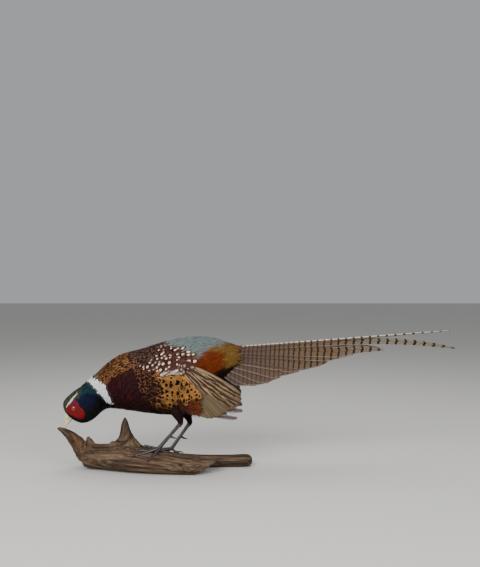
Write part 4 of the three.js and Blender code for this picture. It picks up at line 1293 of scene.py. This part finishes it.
def wing_vanes(name, core, edge, line, ground, pale):
    """Wing feathers' material: a ground, a core and a pale edge of given strengths, and fine dark lines."""
    made, tree, shader = new_material(name, roughness=0.6, specular_ior_level=0.12)
    up, across, place, one = vane_reads(tree)
    ragged = node(tree, "ShaderNodeTexNoise", {"Vector": place, "Scale": 170.0, "Detail": 4.0})
    wobble = node(tree, "ShaderNodeMath", {0: ragged, 1: 0.5}, operation="SUBTRACT")
    across = node(tree, "ShaderNodeMath", {0: wobble, 1: 0.8, 2: across}, operation="MULTIPLY_ADD")
    aside = node(tree, "ShaderNodeMath", {0: across}, operation="ABSOLUTE")
    core_part = node(
        tree, "ShaderNodeMapRange",
        {"Value": aside, "From Min": 0.25, "From Max": 0.62, "To Min": core, "To Max": 0.0},
    )
    edge_part = node(
        tree, "ShaderNodeMapRange", {"Value": aside, "From Min": 0.62, "From Max": 0.86, "To Max": edge}
    )
    comb = node(tree, "ShaderNodeMath", {0: across, 1: 2.6 * math.tau}, operation="MULTIPLY")
    comb = node(tree, "ShaderNodeMath", {0: comb}, operation="SINE")
    comb = node(tree, "ShaderNodeMapRange", {"Value": comb, "From Min": 0.5, "From Max": 1.0, "To Max": line})
    shaft_part = node(
        tree, "ShaderNodeMapRange",
        {"Value": one, "From Min": -0.6, "From Max": -0.4, "To Min": 1.0, "To Max": 0.0},
    )
    colour = linear(ground)
    for share, tint in ((comb, "38271a"), (core_part, "2a1a10"), (edge_part, pale), (shaft_part, "5b4530")):
        colour = node(
            tree, "ShaderNodeMix", {"Factor": share, "A": colour, "B": linear(tint)}, data_type="RGBA"
        )
    shade = node(tree, "ShaderNodeMapRange", {"Value": one, "To Min": 0.8, "To Max": 1.12})
    colour = node(
        tree, "ShaderNodeMix", {"Factor": 1.0, "A": colour, "B": shade}, data_type="RGBA",
        blend_type="MULTIPLY",
    )
    colour = barbed(tree, shader, colour, up, aside, 0.12, 90, (0.86, 1.05), (0.3, 0.0003))
    tree.links.new(colour.outputs[2], shader.inputs["Base Color"])
    return made


def from_pivot(degrees, distance):
    """A point of the fan, so many degrees below the level and so far from its pivot."""
    turn = math.radians(degrees)
    return FAN_PIVOT + distance * np.array([math.cos(turn), -math.sin(turn)])


# Wing vanes: matt and close-barbed. The tertials are striped, the secondaries plain, the primaries pale.
striped_vane = wing_vanes("striped_tertial_vanes", 0.9, 0.95, 0.3, "543e2a", "a38b6d")
plain_vane = wing_vanes("buff_secondary_vanes", 0.15, 0.25, 0.35, "61503c", "74644f")
pale_vane = wing_vanes("pale_primary_vanes", 0.25, 0.9, 0.1, "5f5557", "a89f98")
PRIMARY_SHAFT, SECONDARY_SHAFT, TERTIAL_SHAFT = 1.0, 0.9, 0.7
# Tips of the primaries seen from the side, from the uppermost down.
PRIMARY_TIPS = [(138, 172), (146, 160), (150, 150), (153, 140), (159, 125.5), (128, 121), (148, 110.5)]
# The secondaries, from the lowest up, and how far from the pivot they reach for each 4 degrees from 26 below
# the level.
SECONDARIES, LOWEST, FAN_STEP, WIDE_SECONDARY = 17, 70, 2.55, 9
SECONDARY_REACH = [132, 153, 160, 156, 151, 147, 146, 143, 139, 132, 124, 114]
REACH_AT = 26 + 4 * np.arange(len(SECONDARY_REACH))
# Degrees below the level and reach of the tertials, which lie in four rows.
TERTIALS = [
    (41, 145), (38, 151), (35, 157), (32, 158), (29, 148), (43, 128), (39.5, 136), (36, 141), (32.5, 142),
    (29, 128), (47, 96), (43, 106), (39, 112), (35, 114), (31, 106), (28, 96), (50, 70), (45, 76), (40, 80),
    (35, 82), (30, 78),
]
for side_name, side in SIDES.items():
    random = np.random.default_rng(300)
    made = []
    for i, tip in enumerate(PRIMARY_TIPS):
        at = fan_feather(side, (60 + 4 * i, 172 - 8 * i), tip, 7.5 - 0.3 * i, 4.4 + 0.5 * i, 0.3, -1.5)
        made.append((at, PRIMARY_SHAFT, 40 + i))
    mesh = long_feathers(f"primaries_{side_name}", made)
    add_piece(mesh, pale_vane, [f"wing_{side_name}_primaries"])
    made = []
    for i in range(SECONDARIES):
        degrees = LOWEST - FAN_STEP * i
        reach = np.interp(degrees, REACH_AT, SECONDARY_REACH) - 1 + random.uniform(-2, 0)
        root, tip = from_pivot(degrees + 3, 24), from_pivot(degrees, reach)
        at = fan_feather(side, root, tip, WIDE_SECONDARY, 2.9 - 0.13 * i, 0.35, 3.2)
        made.append((at, SECONDARY_SHAFT, 10 + i))
    mesh = long_feathers(f"secondaries_{side_name}", made)
    add_piece(mesh, plain_vane, [f"wing_{side_name}_secondaries"])
    made = []
    for i, (degrees, reach) in enumerate(TERTIALS):
        root = from_pivot(degrees + random.uniform(0, 8), random.uniform(14, 40) * (reach / 150))
        tip = from_pivot(degrees + random.uniform(-1, 1), reach + random.uniform(-3, 1))
        wide = random.uniform(3.8, 5.8)
        tilt, bow = random.uniform(0.3, 0.7), random.uniform(-2, 5)
        at = fan_feather(side, root, tip, wide, 0.7 - 0.05 * i, tilt, bow, 0.85)
        made.append((at, TERTIAL_SHAFT, 70 + i))
    mesh = long_feathers(f"tertials_{side_name}", made, rows=36, columns=6)
    add_piece(mesh, striped_vane)


# ---------------------------------------------------------------- Lapped flank feathers
# The rearmost flank feathers and scapulars, which lie over the wing's front edge: gold vanes with a black
# drop, loose rusty plumes below them, and above them scapulars with a large grey-centred spot.
LAP_X, LAP_Z = np.linspace(-20, 125, 59), np.linspace(95, 250, 63)
x, z = (part.ravel() * MM for part in np.meshgrid(LAP_X, LAP_Z, indexing="ij"))
BODY_DEPTH = np.abs(coat_form(*place_seen(x, z))[:, 1]).reshape(len(LAP_X), len(LAP_Z)) / MM
PLACE_SIZE, ANGLE_SIZE = 25, 50


def lap_depth(x, z):
    """How far out from the middle the coat or the wing over it lies, in millimetres."""
    i = np.clip((x - LAP_X[0]) / (LAP_X[1] - LAP_X[0]), 0, len(LAP_X) - 1.001)
    j = np.clip((z - LAP_Z[0]) / (LAP_Z[1] - LAP_Z[0]), 0, len(LAP_Z) - 1.001)
    k, m = i.astype(int), j.astype(int)
    i, j = i - k, j - m
    body = (1 - i) * ((1 - j) * BODY_DEPTH[k, m] + j * BODY_DEPTH[k, m + 1])
    body = body + i * ((1 - j) * BODY_DEPTH[k + 1, m] + j * BODY_DEPTH[k + 1, m + 1])
    share = np.clip((x + 4) / 50, 0, 1)
    return body + share**2 * (3 - 2 * share) * np.maximum(fan_depth(x, z) + 0.6 - body, 0)


def lap_form(place, angle):
    """The lapped coat's surface: a place is so many millimetres along, and an angle so many down."""
    x, z = place * PLACE_SIZE, FAN_PIVOT[1] - np.abs(angle) * ANGLE_SIZE
    return np.stack([x, -np.sign(angle) * lap_depth(x, z), z], axis=-1) * MM


large_spot_vanes = plumage(
    "grey_spotted_scapular_vanes",
    [("fleck", "2a120c", 1.5, 0.5), ("fringe", "644436", 0.13), ("spot", "100403", 0.78, 0.56, 0.17),
     ("spot", "b9a494", 0.8, 0.36, 0.1), ("spot", "766a60", 0.77, 0.29, 0.08)],
)
# Each group: the outline of its tips seen from the side. Then its fall below the level in degrees, its
# feathers' length, width, row step and root's height, their shape and look, and the ground ahead and behind.
LAPS = {
    "gold": (
        [(24, 196), (46, 190), (60, 184), (70, 168), (77, 156), (68, 150), (56, 146), (40, 146), (24, 150)],
        30, 30, 19, 8.5, -1.5, VANE, flank_vanes, GROUND["flank"], GROUND["flank"],
    ),
    "rust": (
        [(44, 146), (56, 146), (68, 150), (77, 156), (84, 131), (76, 122), (60, 122), (46, 130)],
        34, 30, 16, 8, -1.5, PLUME, low_plumes, "2c1214", "6a3416",
    ),
    "scapular": (
        [(26, 222), (40, 231), (46, 236), (58, 229), (65, 218), (58, 210), (46, 204), (36, 208), (26, 212)],
        24, 32, 18, 10, -2.4, VANE, large_spot_vanes, GROUND["scapular"], GROUND["scapular"],
    ),
    "front_scapular": (
        [(11, 226), (13, 246), (30, 251), (44, 246), (46, 234), (26, 222)],
        20, 27, 15, 8.5, -2.4, VANE, scapular_vanes, GROUND["scapular"], GROUND["scapular"],
    ),
}
ACROSS_LAPS, UP_LAPS, LAP_ROW = (5, 100), (110, 256), 0.56
for number, (group, values) in enumerate(LAPS.items()):
    tips, fall, length, width, step, low, shape, look, ahead, behind = values
    random = np.random.default_rng(330 + number)
    x, z = np.meshgrid(np.arange(*ACROSS_LAPS, step), np.arange(*UP_LAPS, step * LAP_ROW))
    x = (x + (np.arange(len(x)) % 2 * step / 2)[:, None]).ravel()
    z = z.ravel() + random.normal(0, 1, x.shape)
    x = x + random.normal(0, 1.2, x.shape)
    chosen = inside_of(tips, x, z)
    turn = math.radians(fall)
    reach = length * np.interp(x[chosen], [8, 30], [0.65, 1])
    x = np.tile(x[chosen] - ROOTED_BACK * reach * math.cos(turn), 2)
    z = np.tile(z[chosen] + ROOTED_BACK * reach * math.sin(turn), 2)
    side = np.repeat([1, -1], chosen.sum())
    rooted_place, rooted_angle = place_seen(x * MM, z * MM)
    mesh = feather_mesh(
        f"{group}_lap_feathers", lap_form, x / PLACE_SIZE, side * (FAN_PIVOT[1] - z) / ANGLE_SIZE, shape,
        np.tile(reach, 2), width, 340 + number, turn=fall, low=low, high=1.0,
        unwrap=(rooted_place, side * rooted_angle),
    )
    share = np.clip((read_points(mesh)[:, 0] / MM - 50) / 18, 0, 1)[:, None]
    store(mesh, "ground", np.array(linear(ahead)) * (1 - share) + np.array(linear(behind)) * share)
    add_piece(mesh, look)


# ---------------------------------------------------------------- Tail
# Eighteen long stiff feathers laid like the tiles of a roof along the ridge, the two middle ones uppermost
# and longest. Each is buff with dark bars, greyer and paler toward the lower edge, on a strong horn shaft.
TAIL_ROOT, TAIL_PITCH, ROOF_ROUND, ROOF_LEAN = 112, 1.4, 16, math.radians(64)
RIDGE_X, RIDGE_Z, RIDGE_SLOPE = 150, 250.5, 0.0777
# The tail's lower edge: how far down the roof's slope it lies at each x.
TAIL_EDGE = np.array([
    (112, 82), (146, 87), (185, 89), (211, 85.5), (235, 76), (272, 68), (318, 59), (331, 53.5), (383, 42),
    (448, 38.5),
])
# Tip, lower edge at the root and half width of the side feathers.
OUTER_TAIL = [
    (447, 20, 14), (383, 25, 15), (331, 30, 17), (316, 35, 17), (272, 41, 17), (235, 47, 17),
    (211, 54, 15), (185, 60, 13),
]
# Tip, near and far slope, how late it turns down, half width and bluntness of the middle pair.
MIDDLE_TAIL = {"left": (590, 8, 47, 3.7, 10.5, 2.6), "right": (588, 1, -2, 1, 10.5, 2.6)}


def on_roof(x, down, under, side):
    """A point of the tail: so far along, down the roof's slope and under its surface, in millimetres."""
    bent = ROOF_ROUND * ROOF_LEAN
    turn = np.clip(down, 0, bent) / ROOF_ROUND
    straight = np.maximum(down - bent, 0)
    out = ROOF_ROUND * np.sin(turn) + straight * math.cos(ROOF_LEAN)
    drop = ROOF_ROUND * (1 - np.cos(turn)) + straight * math.sin(ROOF_LEAN)
    z = RIDGE_Z + RIDGE_SLOPE * (x - RIDGE_X) - drop - under * np.cos(turn)
    return np.stack([x, side * (out - under * np.sin(turn)), z], axis=-1)


def middle_feather(tip, near, far, late, wide, blunt, side, uppermost):
    """One of the two longest tail feathers. The uppermost one straddles the ridge."""
    def at(r, c, under):
        t = np.sin(np.minimum(r, 1) * math.pi / 2)
        taper = np.minimum(1, 0.55 + 2.5 * t) * np.sqrt(np.maximum(1 - t**blunt, 0.0009))
        down = near + (far - near) * t**late + c * wide * taper
        x = TAIL_ROOT + (tip - TAIL_ROOT) * t
        if uppermost:
            return on_roof(x, np.abs(down), under, np.where(down < 0, -side, side))
        return on_roof(x, np.maximum(down, 0.4), TAIL_PITCH + under - 0.4 * c, side)

    return at


def side_feather(tip, near, wide, order, side):
    """A side feather of the tail, whose lower edge runs out to the tail's lower edge and then along it."""
    tip_edge = np.interp(tip, TAIL_EDGE[:, 0], TAIL_EDGE[:, 1])

    def at(r, c, under):
        t = np.sin(np.minimum(r, 1) * math.pi / 2)
        x = TAIL_ROOT + (tip - TAIL_ROOT) * t
        rising = near + (tip_edge - near) * 2.1 * t
        edge = np.interp(x, TAIL_EDGE[:, 0], TAIL_EDGE[:, 1])
        lower = (rising + edge) / 2 - np.sqrt(((rising - edge) / 2) ** 2 + 3) - 2 * (1 - t)
        taper = np.minimum(1, 0.55 + 2.5 * t) * np.maximum(1 - t**5, 0.0009) ** 0.8
        down = np.maximum(lower - (1 - c) * wide * taper, 0.4)
        return on_roof(x, down, TAIL_PITCH * (order + 1) + under - 0.4 * c, side)

    return at


def tail_vanes(name, edge, middle_edge, bar_width):
    """Tail feathers' material: mauve-brown at the root, gold along the middle and grey toward the tip, with
    dark bars. The edge may be pale. The line over the shaft is a brown shaft line on most feathers, and on
    the ridge feather a pale line that is partly painted highlight."""
    made, tree, shader = new_material(name, roughness=0.55, specular_ior_level=0.15)
    _, across, place, one = vane_reads(tree)
    phase = node(tree, "ShaderNodeAttribute", attribute_name="bar").outputs["Fac"]
    ragged = node(tree, "ShaderNodeTexNoise", {"Vector": place, "Scale": 300.0, "Detail": 3.0})
    wobble = node(tree, "ShaderNodeMath", {0: ragged, 1: 0.5}, operation="SUBTRACT")
    aside = node(tree, "ShaderNodeMath", {0: across}, operation="ABSOLUTE")
    wave = node(tree, "ShaderNodeMath", {0: wobble, 1: 0.3, 2: phase}, operation="MULTIPLY_ADD")
    wave = node(tree, "ShaderNodeMath", {0: aside, 1: 0.12, 2: wave}, operation="MULTIPLY_ADD")
    half = node(
        tree, "ShaderNodeMapRange",
        {"Value": across, "From Min": -0.1, "From Max": 0.1, "To Min": -0.05, "To Max": 0.05},
    )
    wave = node(tree, "ShaderNodeMath", {0: wave, 1: half}, operation="ADD")
    bar = node(tree, "ShaderNodeMath", {0: wave, 1: 0.5}, operation="PINGPONG")
    bar = node(
        tree, "ShaderNodeMapRange",
        {"Value": bar, "From Min": 0.7 * bar_width, "From Max": 1.1 * bar_width, "To Min": 1.0,
         "To Max": 0.0},
        interpolation_type="SMOOTHSTEP",
    )
    bar_end = node(
        tree, "ShaderNodeMapRange",
        {"Value": aside, "From Min": 0.84, "From Max": 1.0, "To Min": 1.0, "To Max": 0.0},
    )
    bar = node(tree, "ShaderNodeMath", {0: bar, 1: bar_end}, operation="MULTIPLY")
    gold_part = node(tree, "ShaderNodeMapRange", {"Value": phase, "From Min": 8.0, "From Max": 21.0})
    grey_part = node(tree, "ShaderNodeMapRange", {"Value": phase, "From Min": 25.0, "From Max": 32.0})
    side_part = node(
        tree, "ShaderNodeMapRange", {"Value": aside, "From Min": 0.3, "From Max": 0.9, "To Max": 0.45}
    )
    mottle = node(tree, "ShaderNodeTexNoise", {"Vector": place, "Scale": 900.0, "Detail": 2.0})
    speck = node(
        tree, "ShaderNodeMapRange", {"Value": mottle, "From Min": 0.35, "From Max": 0.7, "To Max": 0.35}
    )
    between = node(tree, "ShaderNodeMath", {0: wave, 1: 0.25}, operation="ADD")
    between = node(tree, "ShaderNodeMath", {0: between, 1: 0.25}, operation="PINGPONG")
    between = node(
        tree, "ShaderNodeMapRange",
        {"Value": between, "From Min": 0.05, "From Max": 0.12, "To Min": 0.4, "To Max": 0.0},
    )
    near_root = node(tree, "ShaderNodeMath", {0: 1.0, 1: gold_part}, operation="SUBTRACT")
    between = node(tree, "ShaderNodeMath", {0: between, 1: near_root}, operation="MULTIPLY")
    paler = node(
        tree, "ShaderNodeMapRange",
        {"Value": phase, "From Min": 17.0, "From Max": 28.0, "To Min": edge[1], "To Max": edge[2]},
    )
    fringe = node(tree, "ShaderNodeMath", {0: wobble, 1: 0.25, 2: aside}, operation="MULTIPLY_ADD")
    fringe = node(
        tree, "ShaderNodeMapRange", {"Value": fringe, "From Min": 0.8, "From Max": 0.94, "To Max": paler}
    )
    # The line over the shaft: a brown shaft tone, and on the ridge feather pale, partly painted highlight.
    shaft_line_and_highlight = node(
        tree, "ShaderNodeMapRange",
        {"Value": aside, "From Min": 0.16, "From Max": 0.4, "To Min": middle_edge[1], "To Max": 0.0},
    )
    colour = linear("4c3a30")
    for share, tint in (
        (gold_part, "5c472f"), (grey_part, "6f6b5c"), (side_part, "4d3a36"), (speck, "32231a"),
        (between, "3a261b"), (fringe, edge[0]), (shaft_line_and_highlight, middle_edge[0]),
    ):
        colour = node(
            tree, "ShaderNodeMix", {"Factor": share, "A": colour, "B": linear(tint)}, data_type="RGBA"
        )
    bar_tone = node(
        tree, "ShaderNodeMix", {"Factor": gold_part, "A": linear("2a1a12"), "B": linear("0f0905")},
        data_type="RGBA",
    )
    colour = node(tree, "ShaderNodeMix", {"Factor": bar, "A": colour, "B": bar_tone}, data_type="RGBA")
    colour = barbed(tree, shader, colour, phase, aside, 0.7, 9, (0.85, 1.05), (0.3, 0.0003))
    shaft_part = node(
        tree, "ShaderNodeMapRange",
        {"Value": one, "From Min": -0.6, "From Max": -0.4, "To Min": 0.12, "To Max": 0.0},
    )
    colour = node(
        tree, "ShaderNodeMix", {"Factor": shaft_part, "A": colour, "B": linear("33241a")}, data_type="RGBA"
    )
    tree.links.new(colour.outputs[2], shader.inputs["Base Color"])
    return made


# The bars lie 8 mm apart near the root and 19 mm apart toward the tip, counted from the root.
BAR_X = np.linspace(100, 600, 501)
BAR_STEP = np.interp(BAR_X, [120, 238, 287, 369, 500], [8, 9.2, 12.1, 15.7, 18.7])
BAR_COUNT = np.cumsum(1 / BAR_STEP)
BAR_SHIFT, GREY_FROM, TAIL_COLUMNS = 0.06, 4, 10
TAIL_BUILD = {True: (1.7, 96), False: (1.3, 60)}  # shaft and rows of a middle feather and of a side one

# Tail vanes: close-barbed and a little glossy. Edge and line colours come with their strengths.
barred_vane = tail_vanes("barred_tail_vanes", ("8a7d6c", 0.12, 0.9), ("4f3c2e", 0.2), 0.15)
grey_vane = tail_vanes("grey_side_tail_vanes", ("81766a", 0.6, 0.8), ("4f3c2e", 0.1), 0.1)
# The ridge feather's pale line along its shaft is partly a pale edge and partly painted highlight on the
# ridge's top.
ridge_vane_with_highlight = tail_vanes("ridge_vane_pale_line_and_painted_highlight", ("63523f", 0.5, 0.5), ("cdbfae", 1.0), 0.14)
for side_name, side in SIDES.items():
    for order in range(len(OUTER_TAIL) + 1):
        middle = order == 0
        uppermost = middle and side_name == "right"
        if middle:
            at = middle_feather(*MIDDLE_TAIL[side_name], side, uppermost)
        else:
            at = side_feather(*OUTER_TAIL[order - 1], order, side)
        shaft_radius, rows = TAIL_BUILD[middle]
        name = f"tail_{side_name}_feather_{order + 1}"
        mesh = long_feathers(name, [(at, shaft_radius, order)], rows, TAIL_COLUMNS)
        bars = np.interp(read_points(mesh)[:, 0] / MM, BAR_X, BAR_COUNT)
        store(mesh, "bar", bars + BAR_SHIFT * order)
        look = ridge_vane_with_highlight if uppermost else barred_vane if order < GREY_FROM else grey_vane
        add_piece(mesh, look, [f"tail_{side_name}_{order + 1}"])


# ---------------------------------------------------------------- Legs and feet
# Bare legs in dark horny plates: broad overlapping scutes down the front of each shank and along each toe,
# small scales behind. Each foot grips the log with three toes forward and one back.
LEG = {"thigh": (26, -33, 135), "hock": (33.5, -28, 98), "foot": (-8, -24, 50)}
RIGHT_STEP = np.array([20, -6, -12])
TOES = {
    "middle": ((-23, -9), (-46, -20), 3.1), "outer": ((-9, -15), (-18, -29), 2.8),
    "inner": ((-20, -1), (-40, -6), 2.8), "hind": ((7, 4), (14, 7), 2.1),
}
TURN_IN = {"left": 0.0, "right": math.radians(32)}
# How much of the step each joint of the right leg takes.
STEP_SHARE = {"thigh": 0.5, "hock": 0.75, "foot": 1.0}
SHANK_AT, SHANK_RADIUS = (-0.06, 0.12, 0.5, 0.88, 1.02), (5.2, 3.9, 3.4, 3.8, 4.3)
SHANK_SCUTES = {"spacing": 3.6, "depth": 0.5, "sides": 24}
TOE_SCUTES = {"spacing": 2.3, "depth": 0.55, "sides": 16, "knuckles": 0.5}


def joint(name, side_name):
    """A joint of the left leg, or of the right one, which is mirrored and stands a share of a step back."""
    p = np.array(LEG[name], float)
    return p if side_name == "left" else p * [1, -1, 1] + RIGHT_STEP * STEP_SHARE[name]


def wood_top(x, y):
    """The height of the log's and the branch's upper surface at x, y, in millimetres."""
    best = 0.0
    for limb in ("log", "branch"):
        row = np.array(WOOD_LIMBS[limb], float)
        cy, cz, r, flat = (np.interp(x, row[:, 0], row[:, i]) for i in (1, 2, 3, 4))
        aside = (y - cy) / (r * flat)
        if row[0, 0] < x < row[-1, 0] and abs(aside) < 1:
            best = max(best, cz + r * math.sqrt(1 - aside**2))
    return best


def on_wood(offset, r, side_name):
    """A place on a toe, from the foot as seen from above: on the wood, raised by most of its girth."""
    x, y = offset[0], offset[1] * (1 if side_name == "left" else -1)
    turn = TURN_IN[side_name]
    at = joint("foot", side_name)
    at = at + [x * math.cos(turn) - y * math.sin(turn), x * math.sin(turn) + y * math.cos(turn), 0]
    at[2] = wood_top(at[0], at[1]) + r * 0.7
    return at


def scuted(bm, points, spacing, depth, sides, knuckles=0.0):
    """A horny limb: each scute starts high and slopes down under the next, deepest over the top side."""
    line = spline(np.array(points, float)[:, :3], np.linspace(0, len(points) - 1, 200))
    length = np.linalg.norm(np.diff(line, axis=0), axis=1).sum()
    scutes = round(length / spacing)
    count = scutes * 5 + 1
    start = len(bm.verts)
    rings = limb_rings(points, count)
    loft(bm, rings, sides)
    bm.verts.ensure_lookup_table()
    for i, v in enumerate(bm.verts[start:]):
        ring = min(i // sides, count - 1)
        centre, up, aside = (Vector(part) for part in rings[ring])
        off = v.co - centre
        if off.length < 1e-9:
            continue
        top = max(off.dot(up) / up.length_squared, 0)
        phase = ring / 5 % 1
        lift = depth * (0.35 + 0.65 * top) * (0.5 - phase)
        split = -0.6 * depth * math.exp(-((off.dot(aside) / aside.length_squared / 0.1) ** 2)) * (top > 0.3)
        pad = knuckles * math.sin(ring / 5 * math.pi / 2) ** 2 * (1 - top)
        v.co += off.normalized() * (lift + split * (knuckles == 0) + pad) * MM


# Horny leg skin: dark grey-brown scutes with a hard waxy shine, darker in the grooves between them.
scale_horn, tree, shader = new_material("dark_leg_scutes", roughness=0.34, coat_weight=0.25)
place = node(tree, "ShaderNodeTexCoord").outputs["Object"]
scales = node(tree, "ShaderNodeTexVoronoi", {"Vector": place, "Scale": 900.0}, feature="DISTANCE_TO_EDGE")
blotch = node(tree, "ShaderNodeTexNoise", {"Vector": place, "Scale": 220.0, "Detail": 3.0})
tone = node(tree, "ShaderNodeMapRange", {"Value": blotch, "From Min": 0.3, "From Max": 0.7})
groove = node(tree, "ShaderNodeMapRange", {"Value": scales, "From Max": 0.12, "To Min": 0.55, "To Max": 1.0})
colour = node(
    tree, "ShaderNodeMix", {"Factor": tone, "A": linear("181112"), "B": linear("463b3d")}, data_type="RGBA"
)
colour = node(
    tree, "ShaderNodeMix", {"Factor": 1.0, "A": colour, "B": groove}, data_type="RGBA", blend_type="MULTIPLY"
)
tree.links.new(colour.outputs[2], shader.inputs["Base Color"])
bump = node(tree, "ShaderNodeBump", {"Strength": 0.35, "Distance": 0.0002, "Height": groove})
tree.links.new(bump.outputs["Normal"], shader.inputs["Normal"])

# Claw and spur horn: nearly black, fine-grained and polished by wear.
claw_horn, tree, shader = new_material("black_claw_horn", roughness=0.25, coat_weight=0.2)
place = node(tree, "ShaderNodeTexCoord").outputs["Object"]
streak = node(tree, "ShaderNodeTexNoise", {"Vector": place, "Scale": 500.0, "Detail": 3.0})
tone = node(tree, "ShaderNodeMapRange", {"Value": streak, "From Min": 0.3, "From Max": 0.7})
colour = node(
    tree, "ShaderNodeMix", {"Factor": tone, "A": linear("110d0b"), "B": linear("30261f")}, data_type="RGBA"
)
tree.links.new(colour.outputs[2], shader.inputs["Base Color"])

for side_name, side in SIDES.items():
    hock, foot = joint("hock", side_name), joint("foot", side_name)
    shank = [(*(hock + (foot - hock) * t), r, 0.85) for t, r in zip(SHANK_AT, SHANK_RADIUS)]
    bm = bmesh.new()
    scuted(bm, shank, **SHANK_SCUTES)
    add_piece(mesh_of(bm, f"shank_{side_name}_scutes"), scale_horn, [f"shank_{side_name}"])
    bm = bmesh.new()
    for toe, (knuckle, tip, r) in TOES.items():
        bend, end = on_wood(knuckle, r, side_name), on_wood(tip, r, side_name)
        toe_rows = [(*(foot - [0, 0, 1]), r * 1.15, 1.1), (*bend, r * 1.05, 1.05), (*end, r * 0.8, 1)]
        scuted(bm, toe_rows, **TOE_SCUTES)
        ahead = (end - bend) / np.linalg.norm(end - bend)
        horn_points = [
            (*(end - ahead), r * 0.7, 1), (*(end + ahead * 4.5 + [0, 0, 0.8]), r * 0.52, 0.9),
            (*(end + ahead * 7.6 + [0, 0, -1]), r * 0.28, 0.9), (*(end + ahead * 9 + [0, 0, -3.2]), 0.25, 1),
        ]
        claw = bmesh.new()
        loft(claw, limb_rings(horn_points, 20), 14)
        claw_mesh = mesh_of(claw, f"claw_{side_name}_{toe}_horn")
        add_piece(claw_mesh, claw_horn, [f"claw_{side_name}_{toe}"])
    add_piece(mesh_of(bm, f"foot_{side_name}_scutes"), scale_horn, [f"foot_{side_name}"])
    root = hock + (foot - hock) * 0.52
    end = root + [16, side * -2.5, -5]
    middle = root + (end - root) * 0.55 + [0, 0, -1.2]
    spur = bmesh.new()
    loft(spur, limb_rings([(*root, 2.6, 1), (*middle, 1.7, 1), (*end, 0.5, 1)], 18), 16)
    add_piece(mesh_of(spur, f"spur_{side_name}_horn"), claw_horn, [f"spur_{side_name}"])


# ---------------------------------------------------------------- Thighs
# Short thighs that show below the belly: skin over the leg muscle, covered in small dark brown feathers
# that point down to the hock.
THIGH_UP, THIGH_ASIDE = np.array([-0.95, 0, 0.3]), np.array([0.0, -1.0, 0.0])
SKIN_DEPTH, SKIN_END, THIGH_RINGS, THIGH_SIDES = 1.2 * MM, 2.6, 24, 32
FEATHER_STEP, FEATHER_END, FEATHERS_ROUND = 0.11, 2.3, 22


def thigh_form(side_name):
    """The surface of a thigh by place from its top to its hock and by angle from its front."""
    top, hock = joint("thigh", side_name), joint("hock", side_name)
    middle = top + (hock - top) * 0.55 + [-2, 0, 0]
    rows = np.array([
        (*top, 18, 0.8), (*middle, 12, 0.8), (*(hock + [0, 0, 3]), 5.2, 0.9), (*(hock - [1, 0, 6]), 3.4, 0.9),
    ])

    def form(place, angle):
        row = spline(rows, np.clip(place, 0, 3)) * [MM, MM, MM, MM, 1]
        r, flat = row[..., 3:4], row[..., 4:5]
        up, aside = np.cos(angle)[..., None] * THIGH_UP, np.sin(angle)[..., None] * THIGH_ASIDE
        return row[..., :3] + r * up + r * flat * aside

    return form


# Thigh feathers: short, matt and dark brown, flecked with rust.
thigh_feathers = plumage("brown_thigh_feathers", [("fleck", "3a2014", 2.0, 0.4)], vary=0.5)
for side_name, side in SIDES.items():
    form = thigh_form(side_name)
    rings = []
    for place in np.linspace(0, SKIN_END, THIGH_RINGS):
        around = form(np.full(3, place), np.array([0.0, math.pi, math.pi / 2]))
        centre = around[:2].mean(axis=0)
        rings.append((centre, around[0] - centre, around[2] - centre))
    bm = bmesh.new()
    loft(bm, rings, THIGH_SIDES)
    mesh = mesh_of(bm, f"thigh_{side_name}_skin")
    write_points(mesh, read_points(mesh) - read_points(mesh, "normal") * SKIN_DEPTH)
    store(mesh, "ground", np.tile(linear("140b08"), (len(mesh.vertices), 1)))
    add_piece(mesh, thigh_feathers, [f"thigh_{side_name}"])
    random = np.random.default_rng(60 + side)
    place = np.repeat(np.arange(0.05, FEATHER_END, FEATHER_STEP), FEATHERS_ROUND)
    row, column = np.divmod(np.arange(len(place)), FEATHERS_ROUND)
    angle = (column + row % 2 / 2) / FEATHERS_ROUND * math.tau - math.pi
    place = place + random.normal(0, 0.02, len(place))
    angle = angle + random.normal(0, 0.04, len(place))
    length, width = (np.interp(place, [0, FEATHER_END], ends) for ends in ([20, 7], [10, 3]))
    mesh = feather_mesh(
        f"thigh_{side_name}_feathers", form, place, angle, PLUME, length, width, 61, low=-0.8, high=1.6,
        full=(0.0, 3.0),
    )
    store(mesh, "ground", np.tile(linear("1a0e0a"), (len(mesh.vertices), 1)))
    add_piece(mesh, thigh_feathers)
